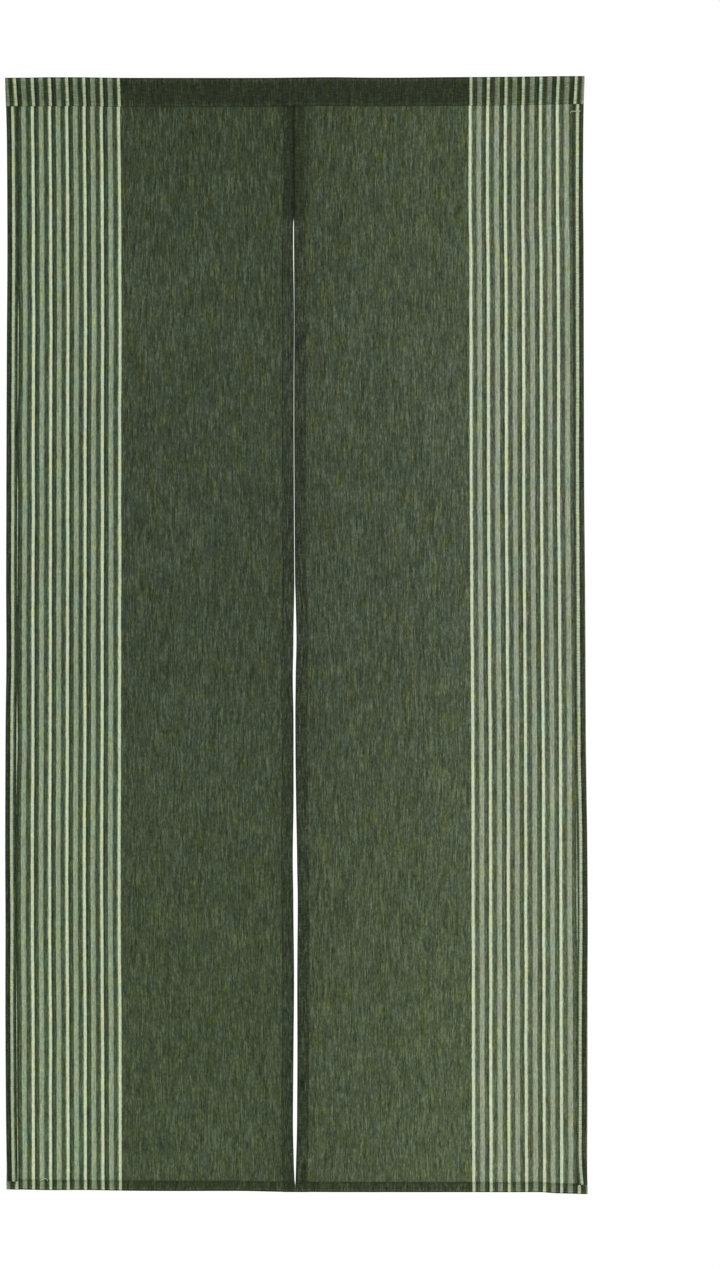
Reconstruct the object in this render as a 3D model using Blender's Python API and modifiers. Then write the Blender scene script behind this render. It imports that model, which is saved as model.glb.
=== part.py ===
"""A noren curtain: two panels of striped cotton cloth, each with a rod pocket along its top.

X runs along the top edge to the right, Y runs from the front of the cloth to its back, and Z is up.
The origin is on the top edge, where the two panels meet. The panels are sewn edge to edge for the
first 214 mm, and hang apart below that.
"""

import math
from typing import Callable, NamedTuple

import bmesh
import bpy

MM = 0.001

# Cloth: one layer in the field, two layers where a hem is turned to the front
LAYER = 1.2 * MM
HEM_WIDTH = 15.0 * MM
HEM_STEP = 0.6 * MM
PARTING = 0.3 * MM

# Rod pocket: the top of each panel, folded to the front and sewn down
POCKET_HEIGHT = 43.0 * MM
POCKET_DEPTH = 11.2 * MM
POCKET_SQUARENESS = 2.6

# Hanging cloth: the folds are flat at the pocket and reach their full depth this far below it
FOLD_RUN_IN = 260.0 * MM
HANG = 1700.0 * MM

# Mesh steps
FIELD_COLUMNS = 12
FIELD_ROWS = 44
POCKET_COLUMNS = 14
POCKET_RING = 24


class SideRow(NamedTuple):
    """Where the two outer edges lie at one height, in mm."""

    down: float
    left: float
    right: float


class SlitRow(NamedTuple):
    """Where the slit lies at one height and how wide it gapes, in mm."""

    down: float
    centre: float
    gap: float


class EndRow(NamedTuple):
    """How high the top fold and the bottom hem reach at one place across, in mm."""

    across: float
    top: float
    bottom: float


class FoldRow(NamedTuple):
    """One soft fold, in mm: its crest at the top and at the bottom, its reach and its rise to the front."""

    crest_top: float
    crest_bottom: float
    reach: float
    rise_top: float
    rise_bottom: float


SIDES = (
    SideRow(down=0, left=-440.0, right=444.1),
    SideRow(down=45, left=-438.6, right=442.7),
    SideRow(down=90, left=-437.5, right=442.1),
    SideRow(down=170, left=-436.9, right=441.8),
    SideRow(down=260, left=-436.6, right=442.5),
    SideRow(down=410, left=-437.4, right=443.0),
    SideRow(down=600, left=-438.1, right=443.5),
    SideRow(down=780, left=-438.5, right=445.0),
    SideRow(down=870, left=-438.0, right=445.5),
    SideRow(down=1000, left=-439.2, right=446.1),
    SideRow(down=1180, left=-439.8, right=448.3),
    SideRow(down=1300, left=-439.3, right=448.8),
    SideRow(down=1390, left=-439.6, right=448.2),
    SideRow(down=1575, left=-438.7, right=448.2),
    SideRow(down=1665, left=-437.5, right=447.8),
    SideRow(down=1705, left=-437.0, right=448.7),
)

SLIT = (
    SlitRow(down=0, centre=0.0, gap=0.3),
    SlitRow(down=214, centre=0.0, gap=0.3),
    SlitRow(down=232, centre=-0.4, gap=1.5),
    SlitRow(down=278, centre=0.0, gap=1.8),
    SlitRow(down=370, centre=1.1, gap=0.6),
    SlitRow(down=492, centre=0.6, gap=0.8),
    SlitRow(down=706, centre=1.4, gap=1.1),
    SlitRow(down=767, centre=1.8, gap=1.5),
    SlitRow(down=797, centre=2.1, gap=3.4),
    SlitRow(down=858, centre=2.2, gap=5.8),
    SlitRow(down=919, centre=0.9, gap=5.2),
    SlitRow(down=980, centre=1.2, gap=3.4),
    SlitRow(down=1041, centre=1.4, gap=3.5),
    SlitRow(down=1102, centre=2.0, gap=4.3),
    SlitRow(down=1194, centre=2.0, gap=7.5),
    SlitRow(down=1255, centre=3.4, gap=7.2),
    SlitRow(down=1377, centre=3.5, gap=5.4),
    SlitRow(down=1499, centre=3.2, gap=6.4),
    SlitRow(down=1591, centre=2.0, gap=6.9),
    SlitRow(down=1652, centre=2.2, gap=4.4),
    SlitRow(down=1682, centre=2.4, gap=1.8),
    SlitRow(down=1691, centre=2.6, gap=0.4),
    SlitRow(down=1705, centre=2.6, gap=0.3),
)

ENDS = (
    EndRow(across=-440, top=-0.4, bottom=-1696.2),
    EndRow(across=-400, top=-0.8, bottom=-1697.0),
    EndRow(across=-370, top=0.4, bottom=-1697.4),
    EndRow(across=-340, top=0.4, bottom=-1696.7),
    EndRow(across=-250, top=-0.5, bottom=-1698.6),
    EndRow(across=-90, top=-0.6, bottom=-1699.0),
    EndRow(across=-30, top=-0.4, bottom=-1700.2),
    EndRow(across=0, top=0.0, bottom=-1700.6),
    EndRow(across=60, top=0.5, bottom=-1700.8),
    EndRow(across=115, top=-0.2, bottom=-1700.9),
    EndRow(across=150, top=-0.3, bottom=-1700.9),
    EndRow(across=240, top=0.6, bottom=-1700.9),
    EndRow(across=330, top=1.2, bottom=-1700.7),
    EndRow(across=375, top=1.6, bottom=-1700.7),
    EndRow(across=400, top=1.9, bottom=-1702.0),
    EndRow(across=449, top=2.4, bottom=-1703.5),
)

LEFT_FOLDS = (
    FoldRow(crest_top=-378, crest_bottom=-366, reach=48, rise_top=0.4, rise_bottom=2.2),
    FoldRow(crest_top=-180, crest_bottom=-196, reach=128, rise_top=2.0, rise_bottom=5.6),
    FoldRow(crest_top=-62, crest_bottom=-54, reach=46, rise_top=-0.4, rise_bottom=-2.4),
)

RIGHT_FOLDS = (
    FoldRow(crest_top=58, crest_bottom=66, reach=44, rise_top=0.4, rise_bottom=1.8),
    FoldRow(crest_top=186, crest_bottom=174, reach=124, rise_top=2.2, rise_bottom=6.0),
    FoldRow(crest_top=342, crest_bottom=330, reach=72, rise_top=-0.6, rise_bottom=-3.0),
)


class Panel(NamedTuple):
    """One cloth panel: the sides of it that a height gives, its folds and its colour."""

    side: str
    left_edge: Callable
    right_edge: Callable
    folds: tuple
    colour: tuple


class Line(NamedTuple):
    """One mesh line of a panel: its share of the way along the field, and its distance past that."""

    share: float
    past: float
    in_hem: bool


def along(table: tuple, column: str, place: float) -> float:
    """Return a column's value at a place, on a smooth curve through the table's rows."""
    places = [row[0] for row in table]
    values = [getattr(row, column) for row in table]
    slopes = [(b - a) / (q - p) for a, b, p, q in zip(values, values[1:], places, places[1:])]
    tangents = [2 * a * b / (a + b) if a * b > 0 else 0.0 for a, b in zip(slopes, slopes[1:])]
    tangents = [slopes[0], *tangents, slopes[-1]]
    place = min(max(place, places[0]), places[-1])
    k = max(i for i in range(len(slopes)) if places[i] <= place)
    span = places[k + 1] - places[k]
    t = (place - places[k]) / span
    return (
        values[k] * (1 + 2 * t) * (1 - t) ** 2
        + values[k + 1] * (3 - 2 * t) * t**2
        + span * tangents[k] * t * (1 - t) ** 2
        - span * tangents[k + 1] * t**2 * (1 - t)
    )


def outer_left(z: float) -> float:
    return along(SIDES, "left", -z / MM) * MM


def outer_right(z: float) -> float:
    return along(SIDES, "right", -z / MM) * MM


def slit_left(z: float) -> float:
    down = -z / MM
    return (along(SLIT, "centre", down) - along(SLIT, "gap", down) / 2) * MM


def slit_right(z: float) -> float:
    down = -z / MM
    return (along(SLIT, "centre", down) + along(SLIT, "gap", down) / 2) * MM


def top_at(x: float) -> float:
    return along(ENDS, "top", x / MM) * MM


def bottom_at(x: float) -> float:
    return along(ENDS, "bottom", x / MM) * MM


def fold_rise(folds: tuple, x: float, z: float) -> float:
    """Return how far a panel's folds bring its cloth to the front at a place."""
    run_in = min(max((-z - POCKET_HEIGHT) / FOLD_RUN_IN, 0.0), 1.0)
    hang = min(-z / HANG, 1.0)
    rise = 0.0
    for fold in folds:
        crest = fold.crest_top + (fold.crest_bottom - fold.crest_top) * hang
        height = fold.rise_top + (fold.rise_bottom - fold.rise_top) * hang
        away = min(abs(x / MM - crest) / fold.reach, 1.0)
        rise += height * (1 + math.cos(math.pi * away)) / 2
    return rise * MM * run_in**2 * (3 - 2 * run_in)


def hemmed_lines(cells: int, hem_at_start: bool) -> list:
    """Return the mesh lines across a field, with a hem past its end and, if asked, before its start."""
    field = [Line(i / cells, 0.0, in_hem=False) for i in range(cells + 1)]
    end = [Line(1.0, HEM_STEP, in_hem=True), Line(1.0, HEM_WIDTH, in_hem=True)]
    if not hem_at_start:
        return field + end
    start = [Line(0.0, -HEM_WIDTH, in_hem=True), Line(0.0, -HEM_STEP, in_hem=True)]
    return start + field + end


def sheet(name: str, columns: int, rows: int, place: Callable, colour: tuple) -> bpy.types.Object:
    """Make cloth on a grid, where place gives each point's position and its share of the thickness."""
    bm = bmesh.new()
    bmesh.ops.create_grid(bm, x_segments=columns, y_segments=rows, size=0.5)
    layers = bm.verts.layers.deform.verify()
    for vertex in bm.verts:
        column = round((vertex.co.x + 0.5) * columns)
        row = round((0.5 - vertex.co.y) * rows)
        vertex.co, vertex[layers][0] = place(column, row)
    bmesh.ops.remove_doubles(bm, verts=bm.verts, dist=0.01 * MM)
    mesh = bpy.data.meshes.new(name)
    bm.to_mesh(mesh)
    bm.free()
    mesh.shade_smooth()
    cloth = bpy.data.objects.new(name, mesh)
    cloth.vertex_groups.new(name="layers")
    mesh.materials.append(cotton(name, colour))
    return cloth


def thicken(cloth: bpy.types.Object, thickness: float, outward: bool) -> None:
    """Give the cloth its thickness, on its front or on its back."""
    solidify = cloth.modifiers.new("cloth", "SOLIDIFY")
    solidify.thickness = thickness
    solidify.offset = 1.0 if outward else -1.0
    solidify.vertex_group = "layers"
    solidify.use_even_offset = False


def cotton(name: str, colour: tuple) -> bpy.types.Material:
    """Make a plain matt cotton finish."""
    material = bpy.data.materials.new(name)
    material.use_nodes = True
    shader = material.node_tree.nodes["Principled BSDF"]
    shader.inputs["Base Color"].default_value = colour
    shader.inputs["Roughness"].default_value = 0.95
    shader.inputs["Metallic"].default_value = 0.0
    return material


def make_panel(panel: Panel) -> bpy.types.Object:
    """Make one panel's hanging cloth, with its side, slit and bottom hems raised on the front."""
    columns = hemmed_lines(FIELD_COLUMNS, hem_at_start=True)
    rows = hemmed_lines(FIELD_ROWS, hem_at_start=False)

    def place(column: int, row: int) -> tuple:
        across, down = columns[column], rows[row]
        x, z = 0.0, -POCKET_HEIGHT - down.share * (HANG - POCKET_HEIGHT)
        for _ in range(3):
            left = panel.left_edge(z) + HEM_WIDTH
            right = panel.right_edge(z) - HEM_WIDTH
            x = left + (right - left) * across.share + across.past
            top = top_at(x) - POCKET_HEIGHT - PARTING
            bottom = bottom_at(x) + HEM_WIDTH
            z = top + (bottom - top) * down.share - down.past
        layers = 1.0 if across.in_hem or down.in_hem else 0.5
        return (x, LAYER / 2 - fold_rise(panel.folds, x, z), z), layers

    cloth = sheet("panel_" + panel.side, len(columns) - 1, len(rows) - 1, place, panel.colour)
    thicken(cloth, 2 * LAYER, outward=True)
    return cloth


def make_heading(panel: Panel) -> bpy.types.Object:
    """Make one panel's rod pocket: a flattened tube of cloth, open at both ends."""

    def place(column: int, row: int) -> tuple:
        turn = -2 * math.pi * column / POCKET_RING
        squared = 2 / POCKET_SQUARENESS
        height = math.copysign(abs(math.sin(turn)) ** squared, math.sin(turn)) * POCKET_HEIGHT / 2
        depth = math.copysign(abs(math.cos(turn)) ** squared, math.cos(turn)) * POCKET_DEPTH / 2
        low = height - POCKET_HEIGHT / 2
        left, right = panel.left_edge(low), panel.right_edge(low)
        x = left + (right - left) * row / POCKET_COLUMNS
        return (x, depth, low + top_at(x)), 1.0

    cloth = sheet("heading_" + panel.side, POCKET_RING, POCKET_COLUMNS, place, panel.colour)
    thicken(cloth, LAYER, outward=False)
    return cloth


PANELS = (
    Panel("left", outer_left, slit_left, LEFT_FOLDS, colour=(0.057, 0.075, 0.042, 1.0)),
    Panel("right", slit_right, outer_right, RIGHT_FOLDS, colour=(0.072, 0.092, 0.052, 1.0)),
)


def main() -> None:
    """Build the curtain's four cloth pieces in a scene of their own."""
    for leftover in list(bpy.data.objects):
        bpy.data.objects.remove(leftover, do_unlink=True)
    curtain = bpy.data.collections.new("noren_curtain")
    bpy.context.scene.collection.children.link(curtain)
    for panel in PANELS:
        curtain.objects.link(make_heading(panel))
        curtain.objects.link(make_panel(panel))


main()
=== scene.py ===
"""A noren curtain of striped slub cotton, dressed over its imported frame.

X runs along the top edge to the right, Y runs from the front of the cloth to its back, and Z is up.
The origin is on the top edge, where the two panels meet. Each panel is one length of cloth: its rod
pocket and its bottom hem are folded to the front over its side hem and its slit hem, as a maker sews
them, and the stitches, the seam's thread and the loose threads are pieces of their own.
"""

import logging
import math
from dataclasses import dataclass, field
from enum import Enum

import bmesh
import bpy
import numpy as np
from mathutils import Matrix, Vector


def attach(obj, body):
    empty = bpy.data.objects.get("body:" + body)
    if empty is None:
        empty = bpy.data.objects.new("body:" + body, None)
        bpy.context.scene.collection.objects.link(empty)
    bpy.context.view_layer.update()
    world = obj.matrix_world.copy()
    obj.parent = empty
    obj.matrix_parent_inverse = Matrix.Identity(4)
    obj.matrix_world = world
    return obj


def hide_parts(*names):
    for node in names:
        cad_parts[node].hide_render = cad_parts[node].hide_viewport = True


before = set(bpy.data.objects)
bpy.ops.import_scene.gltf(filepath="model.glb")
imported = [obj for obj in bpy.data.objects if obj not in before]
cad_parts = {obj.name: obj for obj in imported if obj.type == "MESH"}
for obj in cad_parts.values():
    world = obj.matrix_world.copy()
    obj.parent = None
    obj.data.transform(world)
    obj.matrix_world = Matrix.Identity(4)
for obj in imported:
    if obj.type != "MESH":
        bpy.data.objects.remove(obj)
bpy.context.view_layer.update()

logger = logging.getLogger("noren")

Array = np.ndarray
Piece = bpy.types.Object
Socket = bpy.types.NodeSocket

MM = 0.001
CLOTH_MAP = "cloth"
# The attribute that holds each point's painted see-through shade of its layers, with painted shade and
# highlights along folds and edges
LAYERS_AND_PAINTED_SHADE = "cover"
WARMTH = "warmth"

# How much brighter than its own base colour a matt surface looks in this studio
STUDIO_GAIN = 1.54

# Heights in metres down from the top edge: where the seam fades out, where the slit hems widen, where
# the painted shade line beside the seam sets in, and where the pocket's stripes are read
SEAM_END = (0.205, 0.222)
SLIT_HEM_WIDENS = (0.200, 0.330)
LINE_BESIDE_SEAM = (0.060, 0.090)
BELOW_POCKET = 0.052

# Stretches in metres outward from the slit, as a start and a length: the plain middle, the stripes, the
# pocket's open end and the bottom hem's outer corner; and how far a panel reaches
PLAIN_MIDDLE = (0.033, 0.221)
STRIPED_PART = (0.272, 0.17)
POCKET_END = (0.4330, 0.0040)
HEM_CORNER = (0.405, 0.020)
PANEL_REACH = 0.4385

# Distances from the slit, in metres, that part a panel's inner half from its outer one, and its plain
# cloth from its stripes
INNER_HALF = 0.2
STRIPED_FROM = 0.25

# Bands of painted shade along a panel's folded edges, in metres in from the edge: where each is full and
# where it ends
FOLD_BAND = (0.0010, 0.0022)
SEAM_BAND = (0.0, 0.0120)
BESIDE_SEAM_BAND = (0.0215, 0.0228)
POCKET_END_BAND = (0.0016, 0.0030)

# The painted shade of the ridge beneath the pocket's front, in metres in from the slit: where it sets in and
# where it ends
RIDGE_START = (0.0163, 0.0169)
RIDGE_END = (0.0186, 0.0200)

# Metres past a hem's free edge: where its bulk ends, where its painted see-through shade ends, and how near
# the edge its painted shadow lies
BULK_END = (-0.0005, 0.0050)
TONE_END = (-0.0001, 0.0007)
FREE_EDGE = 0.0006

# Stripe repeats outward of the innermost light stripe: the middle of the six, the stretch before the
# outermost one and the side hem's own
MIDDLE_REPEAT = 2.5
LAST_REPEAT = (5.3, 0.7)
HEM_REPEAT = 7

# The photograph: its size in pixels, the metres in one pixel, and the pixel of the curtain's origin
PHOTO_WIDTH = 720
PHOTO_HEIGHT = 1269
PIXEL = 0.001526
ORIGIN_ACROSS = 293.5
ORIGIN_DOWN = 77.6


class Side(Enum):
    """Which of the two panels, with the way that its cloth runs from its outer edge to its slit."""

    LEFT = 1
    RIGHT = -1

    @property
    def word(self) -> str:
        """Return the side's name as piece names use it."""
        return self.name.lower()


class Zone(Enum):
    """The stretches of cloth across a panel, from its outer hem to its slit hem."""

    OUTER_HEM = "outer hem"
    FIELD = "field"
    SLIT_HEM = "slit hem"


class Stretch(Enum):
    """The stretches of cloth down a panel, in the order in which the cloth runs."""

    POCKET_TURN_IN = "pocket turn-in"
    POCKET_EDGE = "pocket edge"
    POCKET_FRONT = "pocket front"
    POCKET_BACK = "pocket back"
    HANG = "hanging cloth"
    HEM_FOLD = "bottom fold"
    HEM_FLAP = "bottom hem"
    HEM_EDGE = "bottom hem's free edge"
    HEM_TURN_IN = "bottom hem's turn-in"


POCKET_LAYERS = (Stretch.POCKET_TURN_IN, Stretch.POCKET_EDGE, Stretch.POCKET_FRONT)
HEM_LAYERS = (Stretch.HEM_FLAP, Stretch.HEM_EDGE, Stretch.HEM_TURN_IN)


class Face(Enum):
    """Which face of the curtain a row of stitches shows on."""

    FRONT = "front"
    BACK = "back"


@dataclass(frozen=True)
class SideRow:
    """Where the two outer edges lie at one height and how far in each hem's light stripe lies, in mm."""

    down: float
    left: float
    right: float
    left_stripe: float
    right_stripe: float


@dataclass(frozen=True)
class SlitRow:
    """Where the slit lies at one height and how wide it gapes, in mm."""

    down: float
    centre: float
    gap: float


@dataclass(frozen=True)
class EndRow:
    """Where the top fold and the bottom hem lie at one place across, and the pocket's depth, in mm."""

    across: float
    top: float
    bottom: float
    pocket: float


@dataclass(frozen=True)
class StripeRow:
    """The middle of each panel's six inner light stripes at one height, in mm.

    Attributes:
        down: The height, counted down from the top edge.
        left: The left panel's middle.
        right: The right panel's middle.
        left_peep: How far inward the left panel's outermost stripe lies from an even spacing.
        right_peep: The same for the right panel's.
    """

    down: float
    left: float
    right: float
    left_peep: float
    right_peep: float


@dataclass(frozen=True)
class ToneRow:
    """What the hanging cloth's painted density and warmth gain at one height, in mm down from the top edge; a
    positive painted density darkens it and a negative one lightens it.
    """

    down: float
    density: float
    warmth: float


@dataclass(frozen=True)
class Fold:
    """One soft fold, in mm: its crest at the top and at the bottom, its reach and its rise to the front."""

    crest_top: float
    crest_bottom: float
    reach: float
    rise_top: float
    rise_bottom: float


def table(kind: type, *rows: tuple) -> tuple:
    """Make a table from rows of plain numbers in the order of the kind's own columns."""
    return tuple(kind(*row) for row in rows)


SIDES = table(
    SideRow,
    (0, -440.0, 444.1, 9.7, 9.0),
    (45, -438.6, 442.7, 9.7, 9.0),
    (90, -437.5, 442.1, 9.7, 9.0),
    (170, -436.9, 441.8, 9.7, 9.1),
    (260, -436.6, 442.6, 9.7, 9.3),
    (410, -437.4, 443.0, 9.7, 9.5),
    (600, -438.1, 443.5, 9.8, 10.1),
    (780, -438.5, 445.0, 9.8, 10.7),
    (870, -438.1, 445.5, 9.8, 10.7),
    (1000, -439.4, 446.1, 9.7, 10.6),
    (1180, -440.0, 448.4, 9.8, 10.2),
    (1300, -439.5, 449.1, 9.9, 10.5),
    (1390, -439.7, 448.6, 9.9, 10.8),
    (1575, -438.8, 448.5, 9.9, 11.1),
    (1640, -438.0, 448.1, 10.1, 10.8),
    (1665, -437.7, 448.1, 10.4, 9.8),
    (1688, -437.9, 448.5, 10.8, 8.2),
    (1705, -437.0, 448.7, 10.8, 8.0),
)

SLIT = table(
    SlitRow,
    (0, 0.4, 0.02),
    (212, 0.4, 0.02),
    (219, 0.2, 0.9),
    (232, 0.0, 1.4),
    (278, 0.2, 1.3),
    (310, 0.6, 0.95),
    (370, 1.1, 0.6),
    (492, 0.6, 0.8),
    (706, 1.4, 1.0),
    (767, 1.8, 1.2),
    (797, 2.1, 2.5),
    (858, 2.2, 4.7),
    (919, 1.1, 4.4),
    (980, 1.4, 2.8),
    (1041, 1.6, 3.0),
    (1102, 2.0, 3.8),
    (1194, 2.2, 6.6),
    (1255, 3.1, 6.7),
    (1377, 3.3, 4.9),
    (1499, 2.9, 6.1),
    (1591, 2.3, 6.3),
    (1652, 2.2, 3.8),
    (1682, 2.4, 1.8),
    (1691, 2.6, 0.4),
    (1705, 2.6, 0.3),
)

ENDS = table(
    EndRow,
    (-440, -0.3, -1696.2, 43.6),
    (-400, 0.0, -1697.0, 43.6),
    (-370, 0.5, -1697.4, 43.7),
    (-340, 0.5, -1697.3, 43.7),
    (-250, -0.5, -1698.2, 43.8),
    (-90, -0.6, -1698.8, 43.8),
    (-30, -0.4, -1700.0, 43.7),
    (0, 0.0, -1700.3, 43.6),
    (60, 0.5, -1700.4, 43.4),
    (115, -0.1, -1700.4, 43.4),
    (150, -0.2, -1700.1, 43.4),
    (240, 0.6, -1700.4, 43.4),
    (330, 1.2, -1701.0, 43.2),
    (375, 1.8, -1700.7, 43.0),
    (400, 2.1, -1702.4, 42.8),
    (449, 2.4, -1703.5, 42.4),
)

STRIPES = table(
    StripeRow,
    (52, -333.0, 336.3, -0.6, -0.9),
    (98, -332.4, 336.2, -0.6, -0.9),
    (144, -331.9, 336.2, -0.6, -0.9),
    (190, -331.4, 336.1, -0.6, -0.9),
    (281, -331.2, 337.3, -0.9, -1.1),
    (373, -330.8, 337.6, 1.4, -1.1),
    (465, -331.1, 337.8, 1.2, -1.1),
    (556, -331.4, 337.9, -0.8, -1.1),
    (648, -331.3, 338.0, 0.6, -1.1),
    (739, -331.4, 338.7, 0.4, -1.1),
    (831, -331.7, 339.3, -0.2, -1.1),
    (922, -331.7, 339.9, -0.3, -1.1),
    (1014, -331.8, 340.7, 0.9, -0.8),
    (1105, -332.3, 340.9, -0.9, 0.9),
    (1197, -332.6, 341.1, -1.1, 0.6),
    (1289, -332.4, 341.2, -1.1, 0.3),
    (1380, -331.8, 341.6, -0.9, -0.7),
    (1472, -331.2, 341.4, -0.6, -1.1),
    (1563, -331.1, 341.9, -0.3, -1.1),
    (1655, -330.8, 342.2, 0.9, -1.1),
)

TONES = table(
    ToneRow,
    (50, 0.20, 0.25),
    (160, 0.11, 0.14),
    (300, -0.03, 0.0),
    (450, -0.02, -0.14),
    (660, -0.02, -0.25),
    (810, -0.04, -0.22),
    (960, -0.07, 0.0),
    (1100, -0.06, 0.12),
    (1260, 0.06, 0.34),
    (1410, 0.05, 0.43),
    (1600, -0.05, 0.45),
)

LEFT_FOLDS = table(
    Fold,
    (-378, -366, 48, 0.4, 2.2),
    (-180, -196, 128, 2.0, 5.6),
    (-62, -54, 46, -0.4, -2.4),
)

RIGHT_FOLDS = table(
    Fold,
    (58, 66, 44, 0.4, 1.8),
    (186, 174, 124, 2.2, 6.0),
    (342, 330, 72, -0.6, -3.0),
)


def along(rows: tuple, column: str, places: Array) -> Array:
    """Read one column of a table on a smooth curve through its rows.

    Args:
        rows: The table, whose first column holds the places in rising order.
        column: The name of the column to read.
        places: The places to read it at.

    Returns:
        The column's values there.
    """
    first = next(iter(vars(rows[0])))
    at = np.array([getattr(row, first) for row in rows], float)
    values = np.array([getattr(row, column) for row in rows], float)
    slopes = np.diff(values) / np.diff(at)
    product = slopes[:-1] * slopes[1:]
    total = np.where(product > 0, slopes[:-1] + slopes[1:], 1.0)
    inner = np.where(product > 0, 2 * product / total, 0.0)
    tangents = np.concatenate(([slopes[0]], inner, [slopes[-1]]))
    places = np.clip(places, at[0], at[-1])
    k = np.clip(np.searchsorted(at, places, side="right") - 1, 0, len(slopes) - 1)
    span = at[k + 1] - at[k]
    t = (places - at[k]) / span
    start = values[k] * (1 + 2 * t) * (1 - t) ** 2 + span * tangents[k] * t * (1 - t) ** 2
    end = values[k + 1] * (3 - 2 * t) * t**2 - span * tangents[k + 1] * t**2 * (1 - t)
    return start + end


def drift(column: str, z: Array) -> Array:
    """Read one column of the tones at heights in metres, on straight lines between their rows."""
    return np.interp(-z / MM, [row.down for row in TONES], [getattr(row, column) for row in TONES])


def share_of(value: Array, start: float, length: float) -> Array:
    """Return how much of a stretch lies before a value, from 0 to 1."""
    return np.clip((value - start) / length, 0.0, 1.0)


def eased(value: Array, low: float, high: float) -> Array:
    """Return 0 below low, 1 above high and a smooth rise between."""
    share = share_of(value, low, high - low)
    return share * share * (3 - 2 * share)


def dye(red: float, green: float, blue: float) -> tuple:
    """Turn a colour as the photograph shows it into a base colour under this studio's light.

    Args:
        red: Red from 0 to 255.
        green: Green from 0 to 255.
        blue: Blue from 0 to 255.

    Returns:
        The base colour, as four linear numbers.
    """
    linear = []
    for part in (red, green, blue):
        part = part / 255
        part = part / 12.92 if part <= 0.04045 else ((part + 0.055) / 1.055) ** 2.4
        linear.append(part / STUDIO_GAIN)
    return (*linear, 1.0)


def select_only(piece: Piece) -> None:
    """Make a piece the one that is selected and active."""
    bpy.ops.object.select_all(action="DESELECT")
    piece.select_set(True)
    bpy.context.view_layer.objects.active = piece


def link_new(name: str, data: bpy.types.ID) -> Piece:
    """Put a new object with the given data into the scene and return it."""
    made = bpy.data.objects.new(name, data)
    bpy.context.scene.collection.objects.link(made)
    return made


def dress(piece: Piece, count: int, parts: str) -> Piece:
    """Give a piece its body, report how many parts it has and return it."""
    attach(piece, "root")
    logger.info("%s: %d %s", piece.name, count, parts)
    return piece


class NodeSketch:
    """Adds nodes to one shader tree and joins them as they are added."""

    def __init__(self, tree: bpy.types.NodeTree) -> None:
        """Keep the tree that the nodes go into."""
        self.tree = tree

    def put(self, socket: Socket, value: object) -> None:
        """Join a socket to another one, or set its number or colour."""
        if isinstance(value, Socket):
            self.tree.links.new(value, socket)
        else:
            socket.default_value = value

    def fill(self, node: bpy.types.Node, inputs: dict) -> None:
        """Join or set a node's inputs, given by name or number."""
        for name, value in inputs.items():
            self.put(node.inputs[name], value)

    def add(self, kind: str, inputs: dict | None = None, **settings: object) -> bpy.types.Node:
        """Add one node.

        Args:
            kind: The node's type, without its ShaderNode prefix.
            inputs: Sockets or values by input name or number.
            settings: The node's own settings.

        Returns:
            The new node.
        """
        node = self.tree.nodes.new("ShaderNode" + kind)
        for name, value in settings.items():
            setattr(node, name, value)
        self.fill(node, inputs or {})
        return node

    def math(self, operation: str, first: object, second: object = 0.0) -> Socket:
        """Add a Math node and return what it puts out."""
        return self.add("Math", {0: first, 1: second}, operation=operation).outputs[0]

    def times(self, first: object, second: object) -> Socket:
        """Multiply two values and return the product."""
        return self.math("MULTIPLY", first, second)

    def plus(self, first: object, second: object) -> Socket:
        """Add two values and return the sum."""
        return self.math("ADD", first, second)

    def rest(self, value: object) -> Socket:
        """Take a value from 1 and return the rest."""
        return self.math("SUBTRACT", 1.0, value)

    def scaled(self, colour: object, factor: object) -> Socket:
        """Multiply a colour by a number and return the outcome."""
        return self.add("VectorMath", {0: colour, "Scale": factor}, operation="SCALE").outputs[0]

    def span(self, value: object, low: float, high: float, least: float, most: float) -> Socket:
        """Map a value smoothly from low and high onto least and most."""
        names = {"Value": value, "From Min": low, "From Max": high, "To Min": least, "To Max": most}
        return self.add("MapRange", names, interpolation_type="SMOOTHSTEP").outputs["Result"]

    def blend(self, share: object, first: object, second: object, how: str = "MIX") -> Socket:
        """Mix two colours by a share and return the outcome."""
        node = self.add("Mix", data_type="RGBA", blend_type=how)
        self.put(node.inputs[0], share)
        self.put(node.inputs[6], first)
        self.put(node.inputs[7], second)
        return node.outputs[2]

    def stretched(self, place: tuple, steps: tuple, offset: float = 0.0) -> Socket:
        """Scale a place on the cloth, so that a noise on it has grains of the given steps.

        Args:
            place: The sockets of the distances across and along the cloth, in metres.
            steps: How long a grain is across and along, in metres.
            offset: How far the third number stands from the noise's own origin.

        Returns:
            The scaled vector.
        """
        across = self.math("DIVIDE", place[0], steps[0])
        down = self.math("DIVIDE", place[1], steps[1])
        return self.add("CombineXYZ", {0: across, 1: down, 2: offset}).outputs[0]

    def noise(self, vector: Socket, detail: float, roughness: float = 0.5) -> bpy.types.Node:
        """Add a noise texture of scale 1 on a vector."""
        numbers = {"Vector": vector, "Scale": 1.0, "Detail": detail, "Roughness": roughness}
        return self.add("TexNoise", numbers)


def new_material(name: str) -> tuple:
    """Start a material and return it with its nodes and its shader."""
    material = bpy.data.materials.new(name)
    material.use_nodes = True
    return material, NodeSketch(material.node_tree), material.node_tree.nodes["Principled BSDF"]


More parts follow.
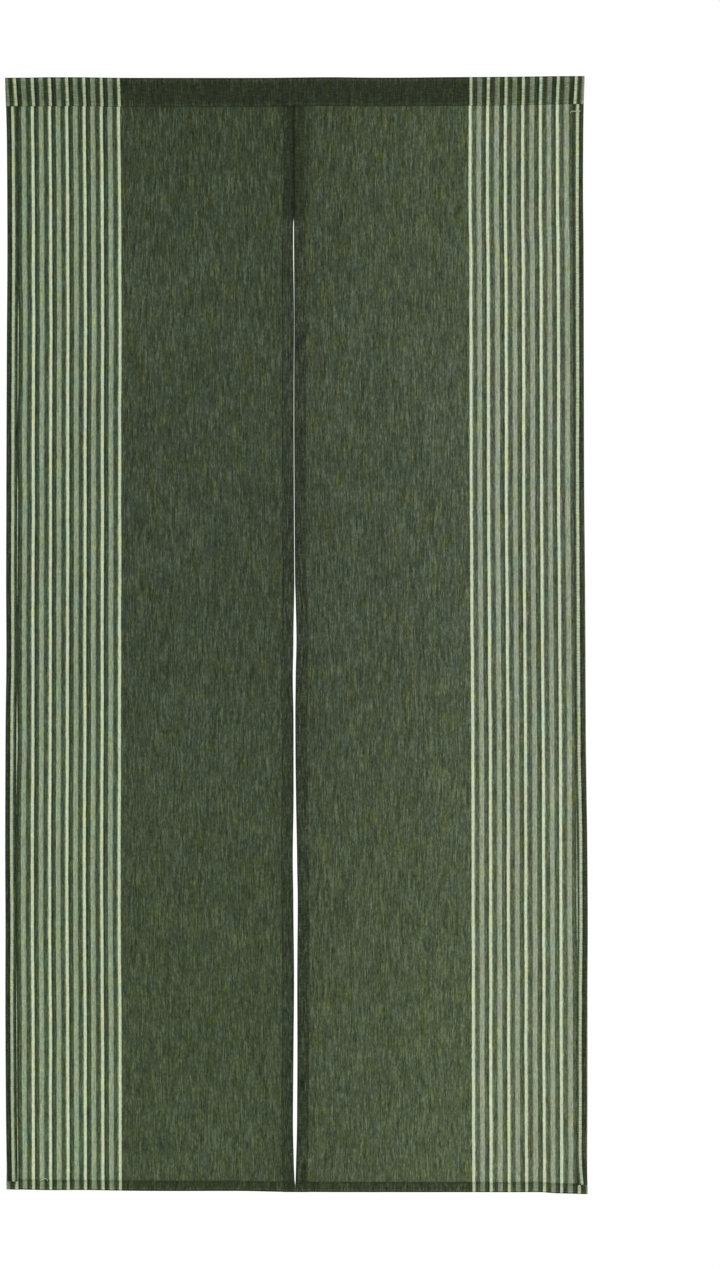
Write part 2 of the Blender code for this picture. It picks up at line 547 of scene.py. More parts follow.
@dataclass(frozen=True)
class PlainWeave:
    """The cloth's own grain, which both panels and all their stripes share.

    The yarns are counted from the innermost light stripe, so that a stripe is a whole number of yarns.
    Each kind of grain is given by its length across and along the cloth, in metres.
    """

    repeat: float = 0.0265
    yarns_in_repeat: int = 48
    slub: tuple = (0.0016, 0.0340)
    fleck: tuple = (0.0013, 0.0070)
    fibre: tuple = (0.0011, 0.0260)
    patch: tuple = (0.0210, 0.0380)
    weft: tuple = (0.011, 0.0021)
    mottle: tuple = (0.052, 0.19)
    waver: tuple = (0.030, 0.110)
    fray: tuple = (0.0012, 0.0090)
    waver_shift: tuple = (0.25, 0.75, -0.009, 0.009)
    fray_shift: tuple = (0.3, 0.7, -0.005, 0.005)
    strand_step: float = 3.71
    strand_roughness: float = 0.72

    def strands(self, sketch: NodeSketch, place: tuple, steps: tuple, offset: float, detail: float) -> Socket:
        """Add a noise whose grains keep to upright strands, as slubs keep to their yarns.

        Args:
            sketch: The group's nodes.
            place: The sockets of the distances across and along the cloth, in metres.
            steps: How wide a strand and how long a grain is, in metres.
            offset: How far this noise stands from the others.
            detail: How many finer noises are added to it.

        Returns:
            The noise's value.
        """
        strand = sketch.math("FLOOR", sketch.math("DIVIDE", place[0], steps[0]))
        down = sketch.math("DIVIDE", place[1], steps[1])
        spot = sketch.add("CombineXYZ", {0: sketch.times(strand, self.strand_step), 1: down, 2: offset})
        return sketch.noise(spot.outputs[0], detail, self.strand_roughness).outputs[0]

    def group(self) -> bpy.types.NodeTree:
        """Build the shader group, or return it where it is built.

        Returns:
            The group, which takes the cloth's map and puts out the yarns' masks, tints and height.
        """
        name = "plain_weave"
        if name in bpy.data.node_groups:
            return bpy.data.node_groups[name]
        tree = bpy.data.node_groups.new(name, "ShaderNodeTree")
        tree.interface.new_socket("Cloth", in_out="INPUT", socket_type="NodeSocketVector")
        words = ("Phase", "Slub", "Fleck", "Fibre", "Weft", "Yarn", "Crossing", "Mottle", "Height")
        for word in words:
            tree.interface.new_socket(word, in_out="OUTPUT", socket_type="NodeSocketFloat")
        tree.interface.new_socket("Hue", in_out="OUTPUT", socket_type="NodeSocketVector")
        sketch = NodeSketch(tree)
        taken = sketch.add("SeparateXYZ", {0: tree.nodes.new("NodeGroupInput").outputs[0]})
        phase, down = taken.outputs[0], taken.outputs[1]
        across = sketch.times(phase, self.repeat)
        place = (across, down)

        waver = sketch.noise(sketch.stretched(place, self.waver), 2.0).outputs[0]
        waver = sketch.span(waver, *self.waver_shift)
        fray = sketch.noise(sketch.stretched(place, self.fray, 4.0), 1.0).outputs[0]
        fray = sketch.span(fray, *self.fray_shift)
        swayed = sketch.plus(sketch.plus(phase, waver), fray)

        yarn = sketch.math("FLOOR", sketch.times(phase, float(self.yarns_in_repeat)))
        tint = sketch.add("TexWhiteNoise", {"W": yarn}, noise_dimensions="1D").outputs[0]
        slub = self.strands(sketch, place, self.slub, 1.0, 3.0)
        fleck = self.strands(sketch, place, self.fleck, 2.0, 1.0)
        fibre = self.strands(sketch, place, self.fibre, 7.0, 2.0)
        patch = sketch.noise(sketch.stretched(place, self.patch, 6.0), 1.5, 0.55)
        weft = sketch.noise(sketch.stretched(place, self.weft, 3.0), 1.5).outputs[0]
        mottle = sketch.noise(sketch.stretched(place, self.mottle, 5.0), 2.0).outputs[0]

        step = math.pi * self.yarns_in_repeat / self.repeat
        warp_wave = sketch.math("SINE", sketch.times(across, step))
        weft_wave = sketch.math("SINE", sketch.times(down, step))
        crossing = sketch.times(warp_wave, weft_wave)
        crossing = sketch.plus(sketch.times(crossing, 0.5), 0.5)
        thick = sketch.plus(slub, sketch.times(weft, 0.6))
        height = sketch.plus(sketch.times(crossing, 0.45), thick)

        out = tree.nodes.new("NodeGroupOutput")
        values = (swayed, slub, fleck, fibre, weft, tint, crossing, mottle, height, patch.outputs[1])
        for socket, value in zip(out.inputs, values):
            tree.links.new(value, socket)
        return tree


@dataclass(frozen=True)
class StripeStop:
    """One stop of the woven stripes: where it lies in a repeat, and how much of each tone it holds."""

    place: float
    light: float = 0.0
    ribbed: float = 0.0
    shoulder: float = 0.0
    deep: float = 0.0


STRIPE_STOPS = (
    StripeStop(0.000, light=1.0),
    StripeStop(0.066, light=1.0),
    StripeStop(0.088, shoulder=1.0),
    StripeStop(0.125, shoulder=0.8),
    StripeStop(0.160),
    StripeStop(0.335),
    StripeStop(0.368, ribbed=0.35),
    StripeStop(0.400, ribbed=0.85),
    StripeStop(0.440, ribbed=0.92),
    StripeStop(0.480, ribbed=0.96),
    StripeStop(0.520, ribbed=0.88),
    StripeStop(0.575, ribbed=1.06),
    StripeStop(0.620, ribbed=1.0),
    StripeStop(0.656),
    StripeStop(0.785),
    StripeStop(0.815, deep=1.0),
    StripeStop(0.880, deep=1.0),
    StripeStop(0.908, deep=0.4, shoulder=0.4),
    StripeStop(0.930, light=1.0),
    StripeStop(1.000, light=1.0),
)


@dataclass(frozen=True)
class YarnCast:
    """One drift of the yarn's colour, which follows one number of the weave's hue.

    Attributes:
        channel: Which of the hue's three numbers.
        low: The number at which the cast sets in.
        high: The number at which it is full.
        strength: How much of it shows there.
        tint: What it multiplies a base colour by.
        striped: Whether it shows in the stripes alone.
    """

    channel: int
    low: float
    high: float
    strength: float
    tint: tuple
    striped: bool = False


OLIVE = YarnCast(channel=0, low=0.50, high=0.70, strength=0.66, tint=(1.10, 1.07, 0.72, 1.0))
SLATE = YarnCast(channel=2, low=0.52, high=0.70, strength=0.60, tint=(0.96, 1.03, 1.24, 1.0))
RUSSET = YarnCast(channel=1, low=0.52, high=0.68, strength=0.58, tint=(1.10, 0.97, 1.02, 1.0), striped=True)
TEAL = YarnCast(channel=1, low=0.48, high=0.32, strength=0.72, tint=(0.89, 1.03, 1.03, 1.0), striped=True)


# How numbers of the weave or of the layers become shares and tones: from low and high, to least and most
DEEP_TO_MEAN = (0.32, 0.52, 0.0, 1.0)
MEAN_TO_PALE = (0.48, 0.68, 0.0, 1.0)
LIGHT_TO_WARM = (0.38, 0.68, 0.0, 1.0)
THICK_YARN = (0.28, 0.72, 0.53, 1.50)
FIBRE_TONE = (0.28, 0.72, 0.76, 1.24)
FLECK_TONE = (0.28, 0.72, -0.28, 0.28)
RIB_TONE = (0.3, 0.7, -0.23, 0.23)
RIBS_BY_LAYERS = (0.5, 1.1, 0.2, 1.0)
CALM_BY_LAYERS = (0.86, 1.10, 1.0, 0.58)
STRIPES_START = (-0.100, -0.082, 0.0, 1.0)
ROUGH_BY_FLECK = (0.2, 0.8, 0.98, 0.86)
WOVEN_TONES = (
    ("Yarn", (0.0, 1.0, 0.95, 1.05)),
    ("Mottle", (0.25, 0.75, 0.955, 1.045)),
    ("Crossing", (0.0, 1.0, 0.93, 1.07)),
)

# How quiet the casts and flecks are in the light and the ribbed stripes, and the warmth there
QUIET_LIGHT = 0.52
QUIET_RIBBED = 0.42
QUIET_WARMTH = 1.9

# What warmth adds to green and to blue
GREEN_BY_WARMTH = 0.035
BLUE_BY_WARMTH = -0.16


@dataclass(frozen=True)
class StripedCotton:
    """One panel's woven colours, given as the photograph shows them.

    Attributes:
        deepen: How much more the painted see-through shade of a further layer darkens the dark tones than the
            light ones.
        dim: How much the painted see-through shade of a further layer darkens every tone.
    """

    name: str
    deepen: float
    dim: float
    light: tuple
    light_warm: tuple
    ribbed: tuple
    shoulder: tuple
    gap: tuple
    deep: tuple
    field_deep: tuple
    field_mean: tuple
    field_pale: tuple
    weave: PlainWeave = field(default_factory=PlainWeave)

    def stripe_masks(self, sketch: NodeSketch, phase: Socket) -> tuple:
        """Add the woven stripes' masks.

        Args:
            sketch: The material's nodes.
            phase: The place in repeats outward from the innermost light stripe.

        Returns:
            The masks of the light, ribbed, shoulder and deep tones.
        """
        ramp_node = sketch.add("ValToRGB", {0: sketch.math("FRACT", phase)})
        ramp = ramp_node.color_ramp
        ramp.interpolation = "LINEAR"
        for stop in STRIPE_STOPS[1:-1]:
            ramp.elements.new(stop.place)
        ramp.elements[0].position = STRIPE_STOPS[0].place
        ramp.elements[-1].position = STRIPE_STOPS[-1].place
        for element, stop in zip(ramp.elements, STRIPE_STOPS):
            element.color = (stop.light, stop.ribbed, stop.shoulder, stop.deep)
        split = sketch.add("SeparateColor", {0: ramp_node.outputs[0]})
        return (*split.outputs[:3], ramp_node.outputs[1])

    def field_colour(self, sketch: NodeSketch, slub: Socket) -> Socket:
        """Mix the plain middle's slub colours.

        Args:
            sketch: The material's nodes.
            slub: How thick the yarn is.

        Returns:
            The colour of the cloth where it has no stripes.
        """
        body = sketch.blend(sketch.span(slub, *DEEP_TO_MEAN), dye(*self.field_deep), dye(*self.field_mean))
        return sketch.blend(sketch.span(slub, *MEAN_TO_PALE), body, dye(*self.field_pale))

    def striped_colour(self, sketch: NodeSketch, woven: dict, slub: Socket) -> tuple:
        """Mix the stripe group's colours.

        Args:
            sketch: The material's nodes.
            woven: The weave group's outputs by name.
            slub: How thick the yarn is.

        Returns:
            The colour of the cloth where it is striped, and how little its casts show there.
        """
        light, ribbed, shoulder, deep = self.stripe_masks(sketch, woven["Phase"])
        pale = sketch.blend(sketch.span(slub, *LIGHT_TO_WARM), dye(*self.light), dye(*self.light_warm))
        colour = sketch.blend(deep, dye(*self.gap), dye(*self.deep))
        colour = sketch.blend(shoulder, colour, dye(*self.shoulder))
        colour = sketch.scaled(colour, sketch.span(slub, *THICK_YARN))
        colour = sketch.blend(ribbed, colour, dye(*self.ribbed))
        colour = sketch.scaled(colour, sketch.span(woven["Fibre"], *FIBRE_TONE))
        still = sketch.plus(sketch.times(light, QUIET_LIGHT), sketch.times(ribbed, QUIET_RIBBED))
        return sketch.blend(light, colour, pale), still

    def material(self) -> bpy.types.Material:
        """Build the panel's woven cotton.

        Returns:
            The material, with its stripes, slubs and weave, and the painted shade and highlights of its
            doubled layers, folds and edges.
        """
        material, sketch, shader = new_material(self.name)
        cloth = sketch.add("UVMap", uv_map=CLOTH_MAP).outputs[0]
        group = sketch.add("Group", node_tree=self.weave.group())
        sketch.put(group.inputs[0], cloth)
        woven = {socket.name: socket for socket in group.outputs}

        # Painted shade: doubled layers are darker, as less light shines through them, with painted shade and
        # highlights along folds and edges
        cover = sketch.add("Attribute", attribute_name=LAYERS_AND_PAINTED_SHADE).outputs["Fac"]
        calm = sketch.span(cover, *CALM_BY_LAYERS)
        slub = sketch.times(sketch.math("SUBTRACT", woven["Slub"], 0.5), calm)
        slub = sketch.plus(slub, 0.5)
        in_stripes = sketch.span(woven["Phase"], *STRIPES_START)
        striped, still = self.striped_colour(sketch, woven, slub)
        colour = sketch.blend(in_stripes, self.field_colour(sketch, slub), striped)
        hue = sketch.add("SeparateXYZ", {0: woven["Hue"]})
        quiet = sketch.times(still, in_stripes)
        vivid = sketch.rest(quiet)
        marked = sketch.times(vivid, in_stripes)
        for cast in (OLIVE, SLATE, RUSSET, TEAL):
            share = sketch.span(hue.outputs[cast.channel], cast.low, cast.high, 0.0, cast.strength)
            share = sketch.times(share, marked if cast.striped else vivid)
            colour = sketch.blend(share, colour, sketch.blend(1.0, colour, cast.tint, "MULTIPLY"))
        fleck = sketch.span(woven["Fleck"], *FLECK_TONE)
        shade = sketch.plus(sketch.times(sketch.times(fleck, vivid), calm), 1.0)
        for name, tone in WOVEN_TONES:
            shade = sketch.times(shade, sketch.span(woven[name], *tone))
        ribs = sketch.span(woven["Weft"], *RIB_TONE)
        ribs = sketch.times(ribs, sketch.span(cover, *RIBS_BY_LAYERS))
        shade = sketch.times(shade, sketch.plus(ribs, 1.0))

        # The painted shade deepens the dark tones and dims every tone
        half = sketch.times(cover, self.deepen / 2)
        depth = sketch.add("RGBToBW", {0: colour}).outputs[0]
        depth = sketch.math("POWER", sketch.times(depth, STUDIO_GAIN**2), half)
        dim = sketch.rest(sketch.times(cover, self.dim))
        shade = sketch.times(shade, sketch.times(depth, dim))
        warmth = sketch.add("Attribute", attribute_name=WARMTH).outputs["Fac"]
        warmth = sketch.times(warmth, sketch.rest(sketch.times(quiet, QUIET_WARMTH)))
        green = sketch.plus(sketch.times(warmth, GREEN_BY_WARMTH), 1.0)
        blue = sketch.plus(sketch.times(warmth, BLUE_BY_WARMTH), 1.0)
        cast = sketch.add("CombineXYZ", {0: 1.0, 1: green, 2: blue}).outputs[0]
        colour = sketch.add("Gamma", {0: colour, 1: sketch.plus(half, 1.0)}).outputs[0]
        colour = sketch.add("VectorMath", {0: colour, 1: cast}, operation="MULTIPLY").outputs[0]
        colour = sketch.scaled(colour, shade)

        bump = sketch.add("Bump", {"Height": woven["Height"], "Strength": 0.45, "Distance": 0.00022})
        finish = {
            "Base Color": colour,
            "Roughness": sketch.span(woven["Fleck"], *ROUGH_BY_FLECK),
            "Normal": bump.outputs[0],
            "Specular IOR Level": 0.05,
            "Sheen Weight": 0.02,
            "Sheen Roughness": 0.6,
        }
        sketch.fill(shader, finish)
        return material


@dataclass(frozen=True)
class SewingThread:
    """Twisted cotton thread in one colour, given as the photograph shows it."""

    name: str
    colour: tuple
    ply_step: float = 0.0004
    tone_by_fuzz: tuple = (0.3, 0.7, 0.85, 1.15)
    rough_by_fuzz: tuple = (0.3, 0.7, 0.75, 0.95)

    def material(self) -> bpy.types.Material:
        """Build the thread's finish.

        Returns:
            The material, with its plies and the fuzz that dulls it.
        """
        material, sketch, shader = new_material(self.name)
        place = sketch.add("TexCoord").outputs["Object"]
        numbers = {"Vector": place, "Scale": 0.05 / self.ply_step, "Distortion": 3.0}
        plies = sketch.add("TexWave", numbers, bands_direction="DIAGONAL")
        fuzz = sketch.add("TexNoise", {"Vector": place, "Scale": 2600.0, "Detail": 2.0})
        shade = sketch.plus(sketch.times(plies.outputs[1], 0.22), 0.78)
        shade = sketch.times(shade, sketch.span(fuzz.outputs[0], *self.tone_by_fuzz))
        base = sketch.add("CombineXYZ", {i: part for i, part in enumerate(dye(*self.colour)[:3])})
        bump = sketch.add("Bump", {"Height": plies.outputs[1], "Strength": 0.6, "Distance": 0.0001})
        finish = {
            "Base Color": sketch.scaled(base.outputs[0], shade),
            "Roughness": sketch.span(fuzz.outputs[0], *self.rough_by_fuzz),
            "Normal": bump.outputs[0],
            "Specular IOR Level": 0.2,
        }
        sketch.fill(shader, finish)
        return material


@dataclass(frozen=True)
class Gauge:
    """How thick the cotton is and how its layers and hems are cut, in metres; the two bulks are in layers."""

    cloth: float = 0.00033
    spacing: float = 0.00042
    side_hem: float = 0.0159
    seam_hem: float = 0.0159
    slit_hem: float = 0.0172
    bottom_hem: float = 0.0152
    turn_in: float = 0.0060
    pocket: float = 0.0434
    pocket_front: float = 0.0030
    pocket_back: float = 0.0044
    pocket_ridge: float = 0.0007
    flap_bulk: float = 6.0
    under_bulk: float = 2.0
    fold_run_in: float = 0.260
    hang: float = 1.700
    width: float = 0.440
    column_step: float = 0.0062
    row_step: float = 0.0066
    close_rows: float = 0.020


@dataclass(frozen=True)
class AcrossLine:
    """One line of the cloth that runs down a panel.

    Attributes:
        zone: The stretch across the panel that it lies in.
        share: Its share of the way from the outer edge to the slit.
        past: Its distance past that, in metres.
        lift: How many layers it stands in front of the panel's own.
        turned: How far round its hem's fold it lies along the cloth, in metres.
    """

    zone: Zone
    share: float
    past: float
    lift: float = 0.0
    turned: float = 0.0


@dataclass(frozen=True)
class DownLine:
    """One line of the cloth that runs across a panel.

    Attributes:
        stretch: The stretch down the panel that it lies in.
        place: Its place there, one number or one for each line that runs down.
        warp: The cloth's length to it, in metres from the pocket's seam.
    """

    stretch: Stretch
    place: float | Array
    warp: float


@dataclass(frozen=True)
class StripeLayout:
    """How one panel's stripes lie, in metres.

    Attributes:
        repeat_top: One repeat at the top edge.
        repeat_bottom: One repeat at the bottom edge.
        sway: How far to the right of an even spacing each light stripe lies, the innermost one first.
        pocket_shift: How far to the right the stripes run off at the top fold.
        pocket_tilt_inner: How far the pocket's front leans to the right at the innermost light stripe.
        pocket_tilt_outer: How far it leans to the right at the outermost one.
        pocket_edge: How much closer together the pocket's outermost stripes lie.
        hem_shift: How far the bottom hem is sewn down to the right.
        hem_shift_outer: How far it is at the outer corner.
        hem_drop: How much lower the bottom hem's free edge lies at the outer corner.
    """

    repeat_top: float
    repeat_bottom: float
    sway: tuple
    pocket_shift: float
    pocket_tilt_inner: float
    pocket_tilt_outer: float
    pocket_edge: float
    hem_shift: float
    hem_shift_outer: float
    hem_drop: float


@dataclass(frozen=True)
class PaintedDensity:
    """Painted shade for each part of a panel, where one layer held to the light counts as 0.

    Doubled layers get painted shade, as less of the light behind the cloth shines through them, and
    folds and edges get painted shade lines; a negative number paints light instead.

    Attributes:
        single_at_slit: One layer beside the slit.
        single_at_stripes: One layer where the stripes are; a lower number than beside the slit paints
            stronger light there.
        free_edge_shadow: The painted shadow that a turned-in edge casts along a side hem or a slit hem.
        side_hem: The side hem.
        slit_hem: The slit hem below the seam.
        seam: The slit hem beside the seam.
        seam_valley_shade: The painted shade that the seam's valley adds to the fold of the slit hem.
        seam_band_shade: The painted shade that the seam adds to the rest of the slit hem.
        beside_seam_shade: A painted shade line beside the sewn slit hem.
        bottom_hem: The bottom hem.
        pocket: The rod pocket's layers.
        pocket_end_shade: The painted shade at the pocket's open end; a negative number paints light there.
        pocket_ridge: The painted shade of the slit hem's edge, a ridge beneath the pocket's front.
        lower_half_light: The painted light that makes the lower half of the single cloth lighter.
        fold: The painted shade along the fold of a side hem or a slit hem.
        hem_corner: What the bottom hem gains where it covers another hem.
        hem_fold: The painted shade along the bottom hem's fold.
    """

    single_at_slit: float
    single_at_stripes: float
    free_edge_shadow: float
    side_hem: float
    slit_hem: float
    seam: float
    seam_valley_shade: float
    seam_band_shade: float
    beside_seam_shade: float
    bottom_hem: float
    pocket: float
    pocket_end_shade: float
    pocket_ridge: float
    lower_half_light: float = -0.34
    fold: float = 0.45
    hem_corner: float = 0.30
    hem_fold: float = 0.9


# Painted lines across the bottom hem and the pocket, in metres from the fold, and the painted density there:
# the bottom fold's painted shade, a lighter line just above it and the painted shadow of the hem's free edge;
# the pocket's top fold's painted shade and painted highlight; and painted light above the pocket's seam
HEM_PAINTED_SHADE = ((0.0, 0.0014, 0.0030, 0.0044, 0.0120, 0.0135, 0.0152), (1.60, 0.95, -0.90, 0.0, 0.0, 0.35, 0.35))
POCKET_TOP_PAINTED_SHADE = ((0.0, 0.0016, 0.0030, 0.0052, 0.0080), (0.25, 0.15, -0.60, -0.30, 0.0))
POCKET_SEAM_PAINTED_LIGHT = ((0.0385, 0.0400, 0.0418, 0.0430), (0.0, -0.40, -0.30, 0.0))

# How warm the bottom hem, a slit hem and the pocket's stripes look
HEM_WARMTH = 0.85
SLIT_HEM_WARMTH = -0.35
POCKET_WARMTH = 0.45


@dataclass
class ClothPanel:
    """One panel of the curtain, from its rod pocket to its bottom hem, as one length of cloth.

    Attributes:
        side: Which panel it is.
        folds: Its soft folds.
        layout: How its stripes lie.
        density: Its painted see-through shade, and its painted shade and light along folds and edges.
        finish: Its woven colours.
        gauge: How it is cut and sewn.
        bolt_start: Where along the bolt its cloth starts, in metres.
        seam_warmth: How much warmer its slit hem looks beside the seam.
    """

    side: Side
    folds: tuple
    layout: StripeLayout
    density: PaintedDensity
    finish: StripedCotton
    gauge: Gauge
    bolt_start: float = 0.0
    seam_warmth: float = 0.0

    def edges(self, z: Array) -> tuple:
        """Read where the panel's two folded edges lie.

        Args:
            z: Heights in metres.

        Returns:
            The outer edge's and the slit edge's x at those heights.
        """
        down = -z / MM
        outer = along(SIDES, self.side.word, down) * MM
        gap = along(SLIT, "gap", down) / 2 * self.side.value
        return outer, (along(SLIT, "centre", down) - gap) * MM

    def rise(self, x: Array, z: Array) -> Array:
        """Return how far the soft folds bring the cloth to the front, in metres."""
        run_in = eased(-z, self.gauge.pocket, self.gauge.pocket + self.gauge.fold_run_in)
        hang = np.minimum(-z / self.gauge.hang, 1.0)
        total = np.zeros_like(x)
        for fold in self.folds:
            crest = fold.crest_top + (fold.crest_bottom - fold.crest_top) * hang
            height = fold.rise_top + (fold.rise_bottom - fold.rise_top) * hang
            away = np.minimum(np.abs(x / MM - crest) / fold.reach, 1.0)
            total = total + height * (1 + np.cos(np.pi * away)) / 2
        return total * MM * run_in

    def across_lines(self) -> list:
        """Lay out the lines that run down the panel, from the outer hem's raw edge to the slit hem's."""
        hem, turn_in, half = self.gauge.side_hem, self.gauge.turn_in, self.gauge.spacing / 2
        flap = []
        for inset in (hem - turn_in, hem - turn_in / 2, hem - half):
            flap.append((inset, 1.0, 2 * hem - inset))
        for angle in (0.25, 0.5, 0.75):
            turn = math.pi * angle
            inset = hem - half + half * math.sin(turn)
            flap.append((inset, 1.5 - 0.5 * math.cos(turn), hem + half * (1 - angle)))
        for inset in (hem - half, hem - 0.0010, hem - 0.0016, 0.0095, 0.0060, 0.0026, 0.0016, 0.0008):
            flap.append((inset, 2.0, inset))
        for angle in (0.2, 0.4, 0.6, 0.8):
            turn = math.pi * angle
            bend = self.gauge.spacing * (1 - math.sin(turn))
            flap.append((bend, 1 + math.cos(turn), 0.0003 * (1 - angle)))
        inner = (0.0005, 0.0016, 0.0026, 0.0070, 0.0125)
        inner += (hem - 0.0002, hem + 0.0008, hem + 0.0026, hem + 0.0052)
        lines = [AcrossLine(Zone.OUTER_HEM, 0.0, *place) for place in flap]
        lines += [AcrossLine(Zone.FIELD, 0.0, inset) for inset in inner]
        columns = round((self.gauge.width - 2 * inner[-1]) / self.gauge.column_step)
        for i in range(1, columns):
            share = i / columns
            lines.append(AcrossLine(Zone.FIELD, share, inner[-1] * (1 - 2 * share)))
        lines += [AcrossLine(Zone.FIELD, 1.0, -inset) for inset in reversed(inner)]
        lines += [AcrossLine(Zone.SLIT_HEM, 1.0, -place[0], *place[1:]) for place in reversed(flap)]
        return lines if self.side is Side.LEFT else lines[::-1]

    def down_lines(self) -> list:
        """Lay out the lines that run across the panel, from the pocket's raw edge to the bottom hem's."""
        gauge = self.gauge
        pocket, hem, turn_in = gauge.pocket, gauge.bottom_hem, gauge.turn_in
        lines = [DownLine(Stretch.POCKET_TURN_IN, d, -2 * pocket - d) for d in (turn_in, turn_in / 2)]
        lines += [DownLine(Stretch.POCKET_EDGE, math.pi * a, -2 * pocket) for a in (0.0, 0.25, 0.5, 0.75)]
        heights = (0.0, 0.0008, 0.0016, 0.0030, 0.0048, 0.0085, 0.0135, 0.0190, 0.0240, 0.0290)
        heights += (0.0335, 0.0370, 0.0388, 0.0398, 0.0406, 0.0414, 0.0421, 0.0427)
        turns = [math.acos(1 - 2 * height / pocket) for height in heights]
        lines += [DownLine(Stretch.POCKET_FRONT, t, -2 * pocket + h) for t, h in zip(turns, heights)]
        lines.append(DownLine(Stretch.POCKET_FRONT, math.pi, -pocket))
        backs = list(zip(turns, heights))[:0:-1]
        lines += [DownLine(Stretch.POCKET_BACK, t, -h) for t, h in backs]
        length = gauge.hang - pocket
        rows = round((length - gauge.close_rows) / gauge.row_step)
        lines += [DownLine(Stretch.HANG, 0.0, 0.0), DownLine(Stretch.HANG, 0.0016 / length, 0.0016)]
        for i in range(1, rows):
            down = (length - gauge.close_rows) * i / rows
            lines.append(DownLine(Stretch.HANG, down / length, down))
        for back in (0.0192, hem + 0.0004, hem - 0.0004, 0.0100, 0.0050, 0.0030, 0.0014, 0.0):
            lines.append(DownLine(Stretch.HANG, 1.0 - back / length, length - back))
        fold, edge, inside = length + 0.0016, length + 0.0166, length + 0.0170
        lines += [DownLine(Stretch.HEM_FOLD, math.pi * i / 8, length + 0.0002 * i) for i in range(1, 8)]
        ups = (0.0, 0.0014, 0.0030, 0.0044, 0.0070, 0.0105)
        ups += (hem - 0.0026, hem - 0.0016, hem - 0.0008, hem - 0.0001)
        lines += [DownLine(Stretch.HEM_FLAP, up, fold + up) for up in ups]
        lines += [DownLine(Stretch.HEM_EDGE, math.pi * a, edge) for a in (0.25, 0.5, 0.75, 1.0)]
        lines += [DownLine(Stretch.HEM_TURN_IN, d, inside + d) for d in (turn_in / 2, turn_in)]
        return lines

    def section(self, line: DownLine, x: Array, inset: Array) -> tuple:
        """Find where one line across the panel lies, seen from the side.

        Args:
            line: The line across.
            x: Places along it.
            inset: How far each place is from the nearer folded edge.

        Returns:
            Its y and z, and the y and z of the cloth's own front, which turns with the folds.
        """
        gauge = self.gauge
        layer = gauge.spacing
        doubled = 1 - eased(inset - gauge.side_hem, *BULK_END)
        flap = layer * (2 + gauge.flap_bulk * doubled)
        under = layer * (1 + gauge.under_bulk * doubled)
        one, none = np.ones_like(x), np.zeros_like(x)
        top = along(ENDS, "top", x / MM) * MM
        middle, radius = -(flap + under) / 2, (flap - under) / 2
        low = top - along(ENDS, "pocket", x / MM) * MM + radius
        fold = along(ENDS, "bottom", x / MM) * MM + flap / 2
        short = radius + self.layout.hem_drop * doubled * (np.abs(x) > INNER_HALF)
        place, stretch = line.place, line.stretch
        if stretch is Stretch.HANG:
            return none, low + (fold - low) * place, -one, none
        if stretch is Stretch.HEM_FOLD:
            turn = (math.cos(place), math.sin(place))
            return -flap / 2 * (1 - turn[0]), fold - flap / 2 * turn[1], -one * turn[0], one * turn[1]
        if stretch is Stretch.HEM_FLAP:
            return -flap, fold - flap / 2 + place * (1 - short / gauge.bottom_hem), one, none
        edge = fold - flap / 2 + gauge.bottom_hem - short
        if stretch is Stretch.HEM_TURN_IN:
            return -under, edge - place, -one, none
        if stretch is Stretch.POCKET_TURN_IN:
            return -under, low + place, -one, none
        turn = (math.cos(place), math.sin(place))
        if stretch is Stretch.HEM_EDGE:
            return middle - radius * turn[0], edge + radius * turn[1], one * turn[0], -one * turn[1]
        if stretch is Stretch.POCKET_EDGE:
            return middle + radius * turn[0], low - radius * turn[1], -one * turn[0], one * turn[1]
        return self.pocket_section(line, top, top - low, flap, doubled)

    def pocket_section(self, line: DownLine, top: Array, deep: Array, flap: Array, doubled: Array) -> tuple:
        """Find where a line across the rod pocket's wall lies, seen from the side.

        Args:
            line: The line across.
            top: The height of the top fold along it.
            deep: How far below that the pocket is sewn.
            flap: How far in front the pocket's sewn edge lies.
            doubled: How much the side hems are beneath it, from 0 to 1.

        Returns:
            Its y and z, and the y and z of the cloth's own front.
        """
        gauge = self.gauge
        front = line.stretch is Stretch.POCKET_FRONT

        def wall(turn: float) -> tuple:
            """Return the wall's y and z at one turn of its section."""
            open_share = math.sin(turn) * math.sin(turn / 2) ** 0.6
            z = top - deep * (1 + math.cos(turn)) / 2
            if not front:
                return gauge.pocket_back * open_share + 0.0 * top, z
            sewn = (1 + math.cos(turn)) / 2
            ridge = doubled * gauge.pocket_ridge * math.sin(turn) ** 2
            return -gauge.pocket_front * open_share - flap * sewn - ridge, z

        step = 0.02
        near, far = wall(max(line.place - step, 0.0)), wall(min(line.place + step, math.pi))
        run = 1.0 if front else -1.0
        along_y, along_z = (far[0] - near[0]) * run, (far[1] - near[1]) * run
        length = np.hypot(along_y, along_z)
        y, z = wall(line.place)
        return y, z, along_z / length, -along_y / length

